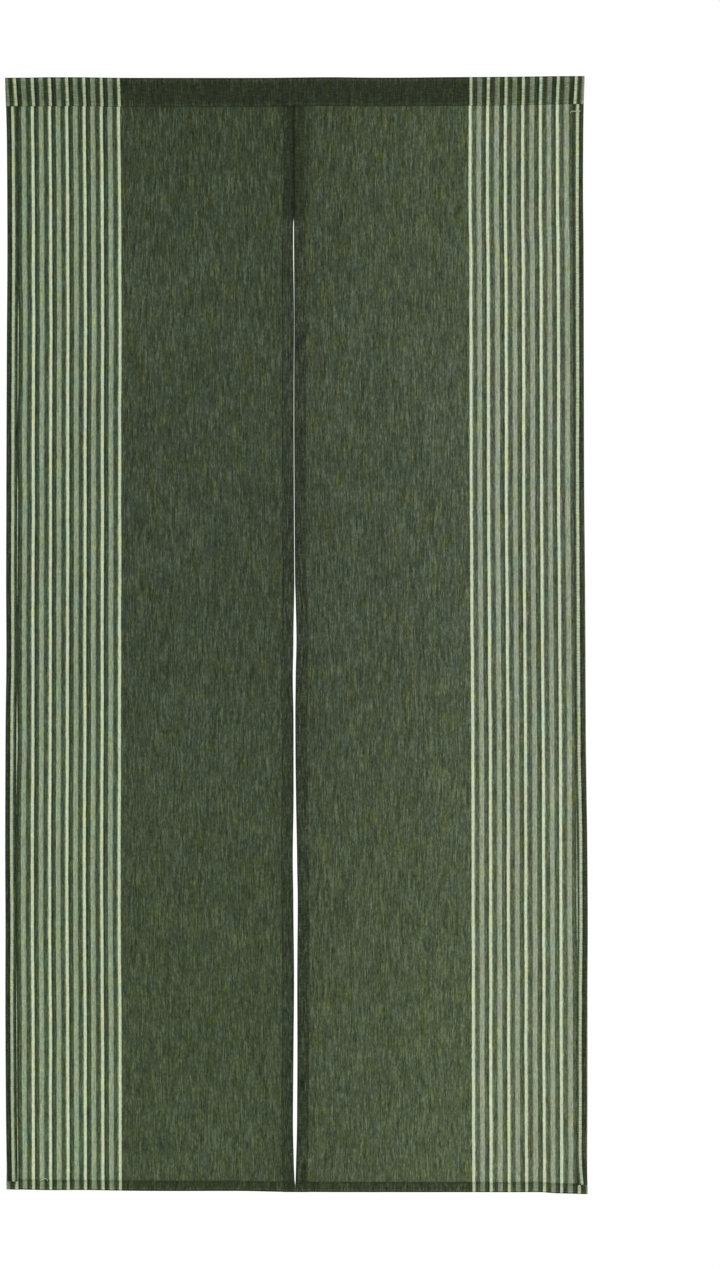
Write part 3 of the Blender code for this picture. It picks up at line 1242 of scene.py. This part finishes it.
    def points(self, lines: list, line: DownLine, raised: float = 0.0) -> tuple:
        """Place one line across the panel at each of the lines that run down it.

        Args:
            lines: The lines that run down.
            line: The line across.
            raised: How many layers to stand in front of the cloth's own place.

        Returns:
            The points, and how far in from the nearer folded edge each lies.
        """
        share = np.array([down.share for down in lines])
        past = np.array([down.past for down in lines])
        lift = np.array([down.lift for down in lines]) + raised
        gauge = self.gauge
        z = np.full(len(lines), -gauge.hang / 2)
        at_slit = share == 1.0
        for _ in range(4):
            outer, slit = self.edges(z)
            width = np.abs(slit - outer)
            slit_hem = gauge.seam_hem + (gauge.slit_hem - gauge.seam_hem) * eased(-z, *SLIT_HEM_WIDENS)
            wider = slit_hem / gauge.side_hem - 1
            across = share * width + past * np.where(at_slit, 1 + wider, 1.0)
            x = outer + self.side.value * across
            inset = np.minimum(across, (width - across) / (1 + wider))
            y, z, front_y, front_z = self.section(line, x, inset)
        y = y - self.rise(x, z)
        shift = lift * gauge.spacing
        return np.stack((x, y + front_y * shift, z + front_z * shift), axis=1), inset

    def repeats(self, x: Array, z: Array) -> Array:
        """Return how many stripe repeats outward of the innermost light stripe each place lies."""
        down = -z / MM
        middle = along(STRIPES, self.side.word, down) * MM
        hang = share_of(-z, 0.0, self.gauge.hang)
        repeat = self.layout.repeat_top + (self.layout.repeat_bottom - self.layout.repeat_top) * hang
        even = MIDDLE_REPEAT - self.side.value * (x - middle) / repeat
        inward = along(STRIPES, self.side.word + "_peep", down) * MM * share_of(even, *LAST_REPEAT)
        swayed = np.interp(even, np.arange(6), np.array(self.layout.sway)) * self.side.value
        return even + (swayed + inward) / repeat

    def woven_places(self, lines: list, line: DownLine, points: Array) -> Array:
        """Find where in the stripes each point of one line across lies.

        Args:
            lines: The lines that run down.
            line: The line across.
            points: The line's points.

        Returns:
            The repeats outward of the innermost light stripe.
        """
        x, z = points[:, 0], points[:, 2]
        layout = self.layout
        repeat = layout.repeat_top
        if line.stretch in POCKET_LAYERS:
            sewn = share_of(-z, 0.0, self.gauge.pocket)
            outward = share_of(np.abs(x), *STRIPED_PART) ** 1.5
            tilt = layout.pocket_tilt_inner + (layout.pocket_tilt_outer - layout.pocket_tilt_inner) * outward
            x = x - layout.pocket_shift - tilt * sewn
            x = x * (1 + layout.pocket_edge * share_of(np.abs(x), *POCKET_END) / PANEL_REACH)
            z = np.full_like(z, -BELOW_POCKET)
        if line.stretch in HEM_LAYERS:
            corner = share_of(np.abs(x), *HEM_CORNER)
            x = x - layout.hem_shift - (layout.hem_shift_outer - layout.hem_shift) * corner
        phase = self.repeats(x, z)
        outer, slit = self.edges(z)
        at_outer, at_slit = self.repeats(outer, z), self.repeats(slit, z)
        turned = np.array([down.turned for down in lines])
        hem_stripe = along(SIDES, self.side.word + "_stripe", -z / MM) * MM
        for i, down in enumerate(lines):
            if down.zone is Zone.OUTER_HEM:
                on_hem = HEM_REPEAT - (hem_stripe[i] - turned[i]) / repeat
                bend = 0.5 if down.lift < 1 else min(1.0, 0.5 + turned[i] / MM)
                phase[i] = at_outer[i] * (1 - bend) + on_hem * bend
            if down.zone is Zone.SLIT_HEM:
                phase[i] = at_slit[i] - turned[i] / repeat
        return phase

    def cover(self, lines: list, line: DownLine, points: Array, inset: Array) -> Array:
        """Tell how much painted shade each point of one line across gets, for the layers that lie there and
        for its folds and edges.

        Args:
            lines: The lines that run down.
            line: The line across.
            points: The line's points.
            inset: How far in from the nearer folded edge each lies.

        Returns:
            0 for one layer held to the light, and 1 for the rod pocket's layers.
        """
        x, z = points[:, 0], points[:, 2]
        density, gauge, stretch = self.density, self.gauge, line.stretch
        hang = share_of(-z, 0.0, gauge.hang)
        stripes = share_of(np.abs(x), *PLAIN_MIDDLE)
        single = density.single_at_slit + (density.single_at_stripes - density.single_at_slit) * stripes
        # Painted light makes the lower half lighter; the height table darkens or lightens the single cloth by
        # height
        single = single + density.lower_half_light * eased(hang, 0.50, 0.85) + drift("density", z)
        at_slit = np.abs(x) < INNER_HALF
        joined = (1 - eased(-z, *SEAM_END)) * at_slit
        slit_hem = density.slit_hem + (density.seam - density.slit_hem) * joined
        hem = np.where(at_slit, slit_hem, density.side_hem)
        # Painted shade along the folds of the side and slit hems, deeper in the seam's valley and over the
        # band beside it, and a painted shade line beside the sewn slit hem
        hem = hem + (density.fold + density.seam_valley_shade * joined) * (1 - eased(inset, *FOLD_BAND))
        hem = hem + density.seam_band_shade * joined * (1 - eased(inset, *SEAM_BAND))
        beside = joined * (1 - eased(inset, *BESIDE_SEAM_BAND))
        single = single + density.beside_seam_shade * beside * eased(-z, *LINE_BESIDE_SEAM)
        doubled = 1 - eased(inset - gauge.side_hem, *TONE_END)
        flaps = np.array([down.zone is not Zone.FIELD for down in lines])
        # Painted shadow along a hem's free edge
        free_edge_shadow = density.free_edge_shadow * flaps * (np.abs(inset - gauge.side_hem) < FREE_EDGE)
        doubled = np.where(flaps, 1.0, doubled)
        layer_shade = single * (1 - doubled) + (hem + free_edge_shadow) * doubled
        # The bottom hem's layers, with painted shade along its fold
        if stretch is Stretch.HEM_FOLD or stretch in HEM_LAYERS:
            layer_shade = density.bottom_hem + density.hem_corner * doubled * ~flaps
            layer_shade = layer_shade + density.hem_fold * (stretch is Stretch.HEM_FOLD)
        if stretch is Stretch.HANG and line.warp > gauge.hang - gauge.pocket - gauge.bottom_hem:
            layer_shade = np.maximum(layer_shade, density.bottom_hem)
        # Painted shade along the bottom fold and the hem's free edge, with a lighter line just above the fold
        if stretch is Stretch.HEM_FLAP:
            layer_shade = layer_shade + np.interp(line.place, *HEM_PAINTED_SHADE)
        if stretch is not Stretch.HANG and line.warp < 0.0:
            layer_shade = np.full_like(layer_shade, density.pocket)
        # Painted shade of the slit hem's ridge and at the pocket's open end, painted shade and a painted
        # highlight along the pocket's top fold, and painted light above its seam
        if stretch is Stretch.POCKET_FRONT:
            ridge = eased(inset, *RIDGE_START) * (1 - eased(inset, *RIDGE_END))
            layer_shade = layer_shade + density.pocket_ridge * at_slit * ridge
            layer_shade = layer_shade + density.pocket_end_shade * (1 - eased(inset, *POCKET_END_BAND)) * ~at_slit
            for profile in (POCKET_TOP_PAINTED_SHADE, POCKET_SEAM_PAINTED_LIGHT):
                layer_shade = layer_shade + np.interp(-line.warp - gauge.pocket, *profile)
        return layer_shade

    def warmth(self, lines: list, line: DownLine, points: Array) -> Array:
        """Tell how warm the cloth's colour is at each point of one line across.

        Args:
            lines: The lines that run down.
            line: The line across.
            points: The line's points.

        Returns:
            0 for the finish's own colours, and more for warmer ones.
        """
        x, z = points[:, 0], points[:, 2]
        if line.warp > self.gauge.hang - self.gauge.pocket + 0.0001:
            return np.full(len(lines), HEM_WARMTH)
        if line.stretch is not Stretch.HANG:
            return POCKET_WARMTH * (np.abs(x) > STRIPED_FROM)
        slit_hem = np.array([down.zone is Zone.SLIT_HEM for down in lines])
        seam = self.seam_warmth * (1 - eased(-z, *SEAM_END))
        return drift("warmth", z) + (SLIT_HEM_WARMTH + seam) * slit_hem

    def build(self) -> Piece:
        """Build the panel's cloth and dress it.

        Returns:
            The finished piece.
        """
        lines, rows = self.across_lines(), self.down_lines()
        bpy.ops.object.select_all(action="DESELECT")
        bpy.ops.mesh.primitive_grid_add(x_subdivisions=len(lines) - 1, y_subdivisions=len(rows) - 1, size=2.0)
        piece = bpy.context.active_object
        piece.name = "cloth_" + self.side.word
        mesh = piece.data
        mesh.name = piece.name
        flat = np.zeros(len(mesh.vertices) * 3)
        mesh.vertices.foreach_get("co", flat)
        flat = flat.reshape(-1, 3)
        column = np.rint((flat[:, 0] + 1) / 2 * (len(lines) - 1)).astype(int)
        row = np.rint((1 - flat[:, 1]) / 2 * (len(rows) - 1)).astype(int)

        places = np.zeros((len(rows), len(lines), 3))
        phase, layer_shade, warm = np.zeros((3, len(rows), len(lines)))
        for k, line in enumerate(rows):
            places[k], inset = self.points(lines, line)
            phase[k] = self.woven_places(lines, line, places[k])
            layer_shade[k] = self.cover(lines, line, places[k], inset)
            warm[k] = self.warmth(lines, line, places[k])
        warp = np.array([line.warp for line in rows]) + self.bolt_start
        mesh.vertices.foreach_set("co", places[row, column].ravel())

        # The painted shade and the warmth go onto the points as attributes
        for name, values in ((LAYERS_AND_PAINTED_SHADE, layer_shade), (WARMTH, warm)):
            attribute = mesh.attributes.new(name, "FLOAT", "POINT")
            attribute.data.foreach_set("value", values[row, column].astype(np.float32))
        corner = np.zeros(len(mesh.loops), dtype=np.int32)
        mesh.loops.foreach_get("vertex_index", corner)
        uv = mesh.uv_layers[0]
        uv.name = CLOTH_MAP
        mapped = np.stack((phase[row, column], warp[row]), axis=1)[corner]
        uv.uv.foreach_set("vector", mapped.astype(np.float32).ravel())
        mesh.update()

        thickness = piece.modifiers.new("cotton", "SOLIDIFY")
        thickness.thickness = self.gauge.cloth
        thickness.offset = 0.0
        select_only(piece)
        bpy.ops.object.modifier_apply(modifier=thickness.name)
        bpy.ops.object.shade_smooth_by_angle(angle=math.radians(50))
        mesh = piece.data
        mesh.materials.clear()
        mesh.materials.append(self.finish.material())
        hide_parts("panel_" + self.side.word, "heading_" + self.side.word)
        return dress(piece, len(mesh.polygons), "faces")


def stitched(name: str, placed: list, faces: list, thread: SewingThread) -> Piece:
    """Join placed stitches into one piece.

    Args:
        name: The piece's name.
        placed: Each stitch's points.
        faces: One stitch's faces.
        thread: Its finish.

    Returns:
        The piece, not yet dressed.
    """
    step = len(placed[0])
    joined = [tuple(k + i * step for k in face) for i in range(len(placed)) for face in faces]
    mesh = bpy.data.meshes.new(name)
    mesh.from_pydata(np.concatenate(placed).tolist(), [], joined)
    mesh.shade_smooth()
    mesh.materials.append(thread.material())
    return link_new(name, mesh)


@dataclass
class Stitching:
    """Every row of machine stitches on one panel, on the front and on the back.

    Attributes:
        panel: The panel.
        thread: The stitches' finish.
        pitch: From one stitch to the next, in metres, as are the next nine.
        length: One stitch's length.
        width: Its width.
        height: Its height.
        slip: How far it strays to the side.
        from_edge: From a hem's free edge to its row.
        above_seam: From the pocket's sewn edge up to its row.
        row_start: From the outer edge to the first stitch of a row across.
        row_length: The length of a row across.
        column_start: From the pocket's seam to the first stitch of a row down.
        lean: How far a stitch leans, in radians.
        stand: How many layers it stands above the middle of its cloth.
        seed: The seed of its random draws.
    """

    panel: ClothPanel
    thread: SewingThread
    pitch: float = 0.0029
    length: float = 0.0022
    width: float = 0.00036
    height: float = 0.000288
    slip: float = 0.00006
    from_edge: float = 0.0022
    above_seam: float = 0.0030
    row_start: float = 0.003
    row_length: float = 0.434
    column_start: float = 0.002
    lean: float = 0.05
    stand: float = 0.42
    seed: int = 7

    def template(self) -> tuple:
        """Model one stitch along X, lying on the plane of X and Y.

        Returns:
            Its points and its faces.
        """
        bpy.ops.object.select_all(action="DESELECT")
        bpy.ops.mesh.primitive_uv_sphere_add(segments=5, ring_count=3, radius=0.5)
        stitch = bpy.context.active_object
        stitch.rotation_euler = (0.0, math.pi / 2, 0.0)
        stitch.scale = (self.height, self.width, self.length)
        bpy.ops.object.transform_apply(location=False, rotation=True, scale=True)
        points = np.array([vertex.co for vertex in stitch.data.vertices])
        faces = [tuple(face.vertices) for face in stitch.data.polygons]
        bpy.data.objects.remove(stitch, do_unlink=True)
        return points, faces

    def row_across(self, stretch: Stretch, place: float) -> list:
        """Lay out a row of stitches that runs across the panel.

        Args:
            stretch: The stretch of cloth that it lies on.
            place: Its place there.

        Returns:
            The ends of the stitches and a third point above the first, as three lists of points.
        """
        count = int(self.row_length / self.pitch)
        starts = [self.row_start + self.pitch * i for i in range(count)]
        line = DownLine(stretch, place, 0.0)
        found = []
        for run, above in ((0.0, 0.0), (self.length, 0.0), (0.0, 1.0)):
            lines = [AcrossLine(Zone.FIELD, 0.0, start + run) for start in starts]
            found.append(self.panel.points(lines, line, raised=-self.stand - above)[0])
        return found

    def row_down(self, zone: Zone, inset: float, face: Face) -> list:
        """Lay out a row of stitches that runs down a hem.

        Args:
            zone: The hem.
            inset: Its distance from the folded edge.
            face: The face of the curtain that it shows on.

        Returns:
            The ends of the stitches and a third point above the first, as three lists of points.
        """
        outer = zone is Zone.OUTER_HEM
        share, past = (0.0, inset) if outer else (1.0, -inset)
        lift, raised = (2.0, self.stand) if face is Face.FRONT else (0.0, -self.stand)
        length = self.panel.gauge.hang - self.panel.gauge.pocket
        count = int((length - self.panel.gauge.close_rows) / self.pitch)
        column = [AcrossLine(zone, share, past, lift)] * count
        starts = self.column_start + self.pitch * np.arange(count)
        found = []
        for run, above in ((0.0, 0.0), (self.length, 0.0), (0.0, 1.0)):
            line = DownLine(Stretch.HANG, (starts + run) / length, 0.0)
            found.append(self.panel.points(column, line, raised=raised + math.copysign(above, raised))[0])
        return found

    def build(self) -> Piece:
        """Build the panel's stitches as one piece and dress it.

        Returns:
            The finished piece.
        """
        gauge = self.panel.gauge
        pocket = math.acos(1 - 2 * self.above_seam / gauge.pocket)
        hang = gauge.hang - gauge.pocket
        rows = [
            self.row_across(Stretch.POCKET_FRONT, pocket),
            self.row_across(Stretch.POCKET_BACK, pocket),
            self.row_across(Stretch.HEM_FLAP, gauge.bottom_hem - self.from_edge),
            self.row_across(Stretch.HANG, 1 - (gauge.bottom_hem - self.from_edge) / hang),
        ]
        for zone in (Zone.OUTER_HEM, Zone.SLIT_HEM):
            for face in (Face.FRONT, Face.BACK):
                rows.append(self.row_down(zone, gauge.side_hem - self.from_edge, face))
        points, faces = self.template()
        chance = np.random.default_rng(self.seed)
        placed = []
        for starts, ends, above in rows:
            for start, end, over in zip(starts, ends, above):
                forward = end - start
                forward = forward / np.linalg.norm(forward)
                up = over - start
                up = up - forward * np.dot(up, forward)
                up = up / np.linalg.norm(up)
                aside = np.cross(up, forward)
                middle = (start + end) / 2 + aside * chance.normal(0.0, self.slip)
                lean = chance.normal(0.0, self.lean)
                along_row = forward * math.cos(lean) + aside * math.sin(lean)
                beside = np.cross(up, along_row)
                placed.append(middle + points @ np.stack((along_row, beside, up)))
        name = "stitches_" + self.panel.side.word
        return dress(stitched(name, placed, faces, self.thread), len(placed), "stitches")


@dataclass
class SeamStitching:
    """The hand-sewn ladder of thread that joins the two panels edge to edge above the slit.

    Attributes:
        stitches: The stitching whose stitch and thread it takes.
        pitch: From one stitch to the next, in metres, as are the next five.
        length: One stitch's length.
        first: From the top edge down to the first stitch.
        run: The ladder's length.
        depth: Where it lies in y.
        slip: How far a stitch strays to the side.
        slope: How far it leans, in radians.
        unevenness: How far it strays along the ladder, in pitches.
        seed: The seed of its random draws.
    """

    stitches: Stitching
    pitch: float = 0.0042
    length: float = 0.0026
    first: float = 0.0462
    run: float = 0.166
    depth: float = -0.00112
    slip: float = 0.0001
    slope: float = 0.12
    unevenness: float = 0.2
    seed: int = 11

    def build(self) -> Piece:
        """Build the ladder as one piece and dress it.

        Returns:
            The finished piece.
        """
        points, faces = self.stitches.template()
        points = points * (self.length / self.stitches.length)
        chance = np.random.default_rng(self.seed)
        placed = []
        for i in range(int(self.run / self.pitch)):
            slope = chance.normal(0.0, self.slope)
            turned = points.copy()
            turned[:, 2] = points[:, 0] * math.sin(slope) + points[:, 1]
            turned[:, 1] = points[:, 2]
            aside = chance.normal(0.0, self.slip)
            down = self.first + self.pitch * (i + chance.uniform(-self.unevenness, self.unevenness))
            placed.append(turned + np.array((aside, self.depth, -down)))
        piece = stitched("seam_thread", placed, faces, self.stitches.thread)
        select_only(piece)
        bpy.ops.object.mode_set(mode="EDIT")
        bpy.ops.mesh.select_all(action="SELECT")
        bpy.ops.mesh.normals_make_consistent(inside=False)
        bpy.ops.object.mode_set(mode="OBJECT")
        return dress(piece, len(placed), "stitches")


def photo_place(across: float, down: float) -> tuple:
    """Return the x and z in metres of a pixel of the photograph."""
    return (across - ORIGIN_ACROSS) * PIXEL, (ORIGIN_DOWN - down) * PIXEL


@dataclass
class LooseThread:
    """A short end of thread that lies on the cloth.

    Attributes:
        name: The piece's name.
        thread: Its finish.
        radius: Half its thickness, in metres.
        path: The pixels across and down that it passes through, each with its depth in metres.
    """

    name: str
    thread: SewingThread
    radius: float
    path: tuple

    def build(self) -> Piece:
        """Build the thread as a thin round cord and dress it.

        Returns:
            The finished piece.
        """
        curve = bpy.data.curves.new(self.name, "CURVE")
        curve.dimensions = "3D"
        curve.bevel_depth = self.radius
        curve.bevel_resolution = 2
        curve.resolution_u = 6
        curve.use_fill_caps = True
        spline = curve.splines.new("BEZIER")
        spline.bezier_points.add(len(self.path) - 1)
        for point, (across, down, depth) in zip(spline.bezier_points, self.path):
            x, z = photo_place(across, down)
            point.co = (x, depth, z)
            point.handle_left_type = "AUTO"
            point.handle_right_type = "AUTO"
        select_only(link_new(self.name, curve))
        bpy.ops.object.convert(target="MESH")
        piece = bpy.context.active_object
        shape = bmesh.new()
        shape.from_mesh(piece.data)
        bmesh.ops.remove_doubles(shape, verts=shape.verts, dist=0.00002)
        shape.to_mesh(piece.data)
        shape.free()
        piece.data.shade_smooth()
        piece.data.materials.append(self.thread.material())
        return dress(piece, len(piece.data.polygons), "faces")


@dataclass
class Studio:
    """The plain floor, the soft lights and the camera at the photograph's angle."""

    distance: float = 10.0
    floor_height: float = -2.05
    floor_radius: float = 1.25
    world_strength: float = 1.03
    key_power: float = 120.0
    fill_power: float = 26.0
    sensor: float = 36.0
    floor_tones: tuple = ((0.80, 0.80, 0.79, 1.0), (0.84, 0.84, 0.83, 1.0))

    def build_floor(self) -> Piece:
        """Build the pale floor below the curtain.

        Returns:
            The floor.
        """
        bpy.ops.object.select_all(action="DESELECT")
        bpy.ops.mesh.primitive_circle_add(
            vertices=96, radius=self.floor_radius, fill_type="NGON", location=(0.0, 0.0, self.floor_height)
        )
        floor = bpy.context.active_object
        floor.name = "floor"
        material, sketch, shader = new_material("pale_floor")
        grain = sketch.add("TexNoise", {"Scale": 30.0, "Detail": 3.0})
        tone = sketch.blend(grain.outputs[0], *self.floor_tones)
        sketch.fill(shader, {"Base Color": tone, "Roughness": 0.9})
        floor.data.materials.append(material)
        return floor

    def build_light(self, name: str, place: tuple, size: float, power: float) -> None:
        """Hang one square soft light that faces the curtain.

        Args:
            name: The light's name.
            place: Where it hangs, in metres.
            size: The side of its square.
            power: Its power in watts.
        """
        lamp = bpy.data.lights.new(name, "AREA")
        lamp.size = size
        lamp.energy = power
        hung = link_new(name, lamp)
        hung.location = place
        aim = Vector((0.0, 0.0, -0.85)) - Vector(place)
        hung.rotation_euler = aim.to_track_quat("-Z", "Y").to_euler()

    def build_world(self) -> None:
        """Set the plain white surroundings, which also light the cloth evenly."""
        world = bpy.data.worlds.new("white_surroundings")
        world.use_nodes = True
        background = world.node_tree.nodes["Background"]
        background.inputs[0].default_value = (1.0, 1.0, 1.0, 1.0)
        background.inputs[1].default_value = self.world_strength
        bpy.context.scene.world = world

    def build_camera(self) -> None:
        """Place the camera square to the curtain, so that one pixel covers as much as in the photograph."""
        x, z = photo_place(PHOTO_WIDTH / 2, PHOTO_HEIGHT / 2)
        lens = bpy.data.cameras.new("camera")
        lens.sensor_fit = "AUTO"
        lens.sensor_width = self.sensor
        lens.lens = self.sensor * self.distance / (PHOTO_HEIGHT * PIXEL)
        camera = link_new("camera", lens)
        camera.location = (x, -self.distance, z)
        camera.rotation_euler = (math.pi / 2, 0.0, 0.0)
        bpy.context.scene.camera = camera
        bpy.context.scene.view_settings.view_transform = "Standard"

    def build(self) -> None:
        """Build the whole studio."""
        self.build_floor()
        self.build_world()
        self.build_light("key", (1.9, -3.4, 0.5), 1.8, self.key_power)
        self.build_light("fill", (-2.2, -3.4, -0.6), 2.0, self.fill_power)
        self.build_camera()
        logger.info("studio: floor, two lights and camera")


LEFT_COTTON = StripedCotton(
    name="striped_cotton_left",
    deepen=0.145,
    dim=0.235,
    light=(180, 192, 162),
    light_warm=(190, 199, 167),
    ribbed=(136, 149, 122),
    shoulder=(98, 108, 84),
    gap=(61, 73, 55),
    deep=(48, 58, 38),
    field_deep=(40, 49, 33),
    field_mean=(58, 67, 49),
    field_pale=(81, 91, 71),
)

# The right panel's darker tones are set lighter than the left panel's: painted light, for the stronger light
# on the right panel
RIGHT_COTTON = StripedCotton(
    name="striped_cotton_right",
    deepen=0.205,
    dim=0.100,
    light=(180, 192, 165),
    light_warm=(188, 197, 167),
    ribbed=(136, 146, 123),
    shoulder=(101, 110, 87),
    gap=(72, 80, 63),
    deep=(60, 69, 46),
    field_deep=(46, 54, 38),
    field_mean=(66, 75, 56),
    field_pale=(90, 100, 79),
)

DARK_THREAD = SewingThread(name="dark_green_thread", colour=(52, 60, 44))
SEAM_THREAD = SewingThread(name="seam_green_thread", colour=(38, 44, 32))
PALE_THREAD = SewingThread(name="pale_green_thread", colour=(186, 198, 166))
CURL_THREAD = SewingThread(name="whitish_thread", colour=(204, 212, 204))

LEFT_LAYOUT = StripeLayout(
    repeat_top=0.02632,
    repeat_bottom=0.02655,
    sway=(0.0003, 0.0001, 0.0001, 0.0, 0.0002, 0.0003),
    pocket_shift=-0.0004,
    pocket_tilt_inner=0.0017,
    pocket_tilt_outer=0.0028,
    pocket_edge=0.0,
    hem_shift=0.0003,
    hem_shift_outer=0.0004,
    hem_drop=0.0032,
)

RIGHT_LAYOUT = StripeLayout(
    repeat_top=0.02670,
    repeat_bottom=0.02693,
    sway=(0.0001, -0.0002, 0.0004, 0.0, 0.0004, -0.0003),
    pocket_shift=0.0012,
    pocket_tilt_inner=-0.0002,
    pocket_tilt_outer=-0.0024,
    pocket_edge=0.0013,
    hem_shift=0.0003,
    hem_shift_outer=-0.0011,
    hem_drop=0.0014,
)

# The left panel: painted shadow along its hems' free edges, and painted shade along the seam, the pocket's
# ridge and the pocket's open end
LEFT_PAINTED_DENSITY = PaintedDensity(
    single_at_slit=0.05,
    single_at_stripes=0.05,
    free_edge_shadow=0.45,
    side_hem=0.75,
    slit_hem=0.46,
    seam=0.92,
    seam_valley_shade=0.20,
    seam_band_shade=0.36,
    beside_seam_shade=0.0,
    bottom_hem=0.42,
    pocket=1.03,
    pocket_end_shade=0.9,
    pocket_ridge=0.35,
)

# The right panel: painted shade on its single layer by the slit and painted light towards its stripes, a
# painted shade line beside the seam, and painted light at the pocket's open end
RIGHT_PAINTED_DENSITY = PaintedDensity(
    single_at_slit=0.25,
    single_at_stripes=-0.06,
    free_edge_shadow=0.0,
    side_hem=0.98,
    slit_hem=0.86,
    seam=1.28,
    seam_valley_shade=0.95,
    seam_band_shade=0.0,
    beside_seam_shade=0.45,
    bottom_hem=0.66,
    pocket=1.40,
    pocket_end_shade=-0.7,
    pocket_ridge=0.0,
)

LEFT_GAUGE = Gauge(side_hem=0.0165, seam_hem=0.0150)
RIGHT_GAUGE = Gauge(side_hem=0.0154)

# The loose threads: each pixel across and down that one passes through, and its depth in metres
THREAD_END = (
    (570.1, 113.1, -0.0012),
    (571.6, 111.3, -0.0032),
    (574.5, 111.5, -0.0030),
    (578.0, 111.2, -0.0026),
    (580.3, 111.0, -0.0018),
)
THREAD_LOOP = ((580.9, 101.0, -0.0040), (581.9, 104.2, -0.0046), (583.4, 101.4, -0.0040))
THREAD_CURL = (
    (40.1, 1180.7, -0.0040),
    (41.6, 1179.7, -0.0048),
    (43.5, 1179.2, -0.0052),
    (45.6, 1178.2, -0.0050),
    (47.2, 1178.9, -0.0046),
    (47.5, 1180.8, -0.0040),
)
# Dark threads at the bottom hem's two outer corners: painted shadow of the hand-sewn corners, in the shape of
# thread
CORNER_SHADOW_THREAD_LEFT = (
    (11.9, 1180.8, -0.0034),
    (12.9, 1182.4, -0.0040),
    (14.9, 1182.7, -0.0040),
    (16.3, 1181.6, -0.0034),
)
CORNER_SHADOW_THREAD_RIGHT = (
    (576.2, 1185.4, -0.0034),
    (578.2, 1184.6, -0.0040),
    (581.0, 1184.4, -0.0040),
    (582.1, 1186.2, -0.0038),
)

LOOSE_THREADS = (
    LooseThread("thread_end", PALE_THREAD, 0.00046, THREAD_END),
    LooseThread("thread_loop", PALE_THREAD, 0.00020, THREAD_LOOP),
    LooseThread("thread_curl", CURL_THREAD, 0.00032, THREAD_CURL),
    # The last two are dark threads that stand in for the shadow at the hem's outer corners
    LooseThread("tack_left", SEAM_THREAD, 0.00045, CORNER_SHADOW_THREAD_LEFT),
    LooseThread("tack_right", SEAM_THREAD, 0.00045, CORNER_SHADOW_THREAD_RIGHT),
)


def main() -> None:
    """Build the curtain's pieces in order, and the studio around them."""
    logging.basicConfig(level=logging.INFO, format="%(message)s")
    left = ClothPanel(Side.LEFT, LEFT_FOLDS, LEFT_LAYOUT, LEFT_PAINTED_DENSITY, LEFT_COTTON, LEFT_GAUGE)
    right = ClothPanel(
        Side.RIGHT,
        RIGHT_FOLDS,
        RIGHT_LAYOUT,
        RIGHT_PAINTED_DENSITY,
        RIGHT_COTTON,
        RIGHT_GAUGE,
        bolt_start=1.93,
        seam_warmth=0.65,
    )
    for panel, seed in ((left, 7), (right, 8)):
        cloth = panel.build()
        stitches = Stitching(panel, DARK_THREAD, seed=seed).build()
    SeamStitching(Stitching(left, SEAM_THREAD)).build()
    for loose in LOOSE_THREADS:
        loose.build()
    Studio().build()


if __name__ == "__main__":
    main()
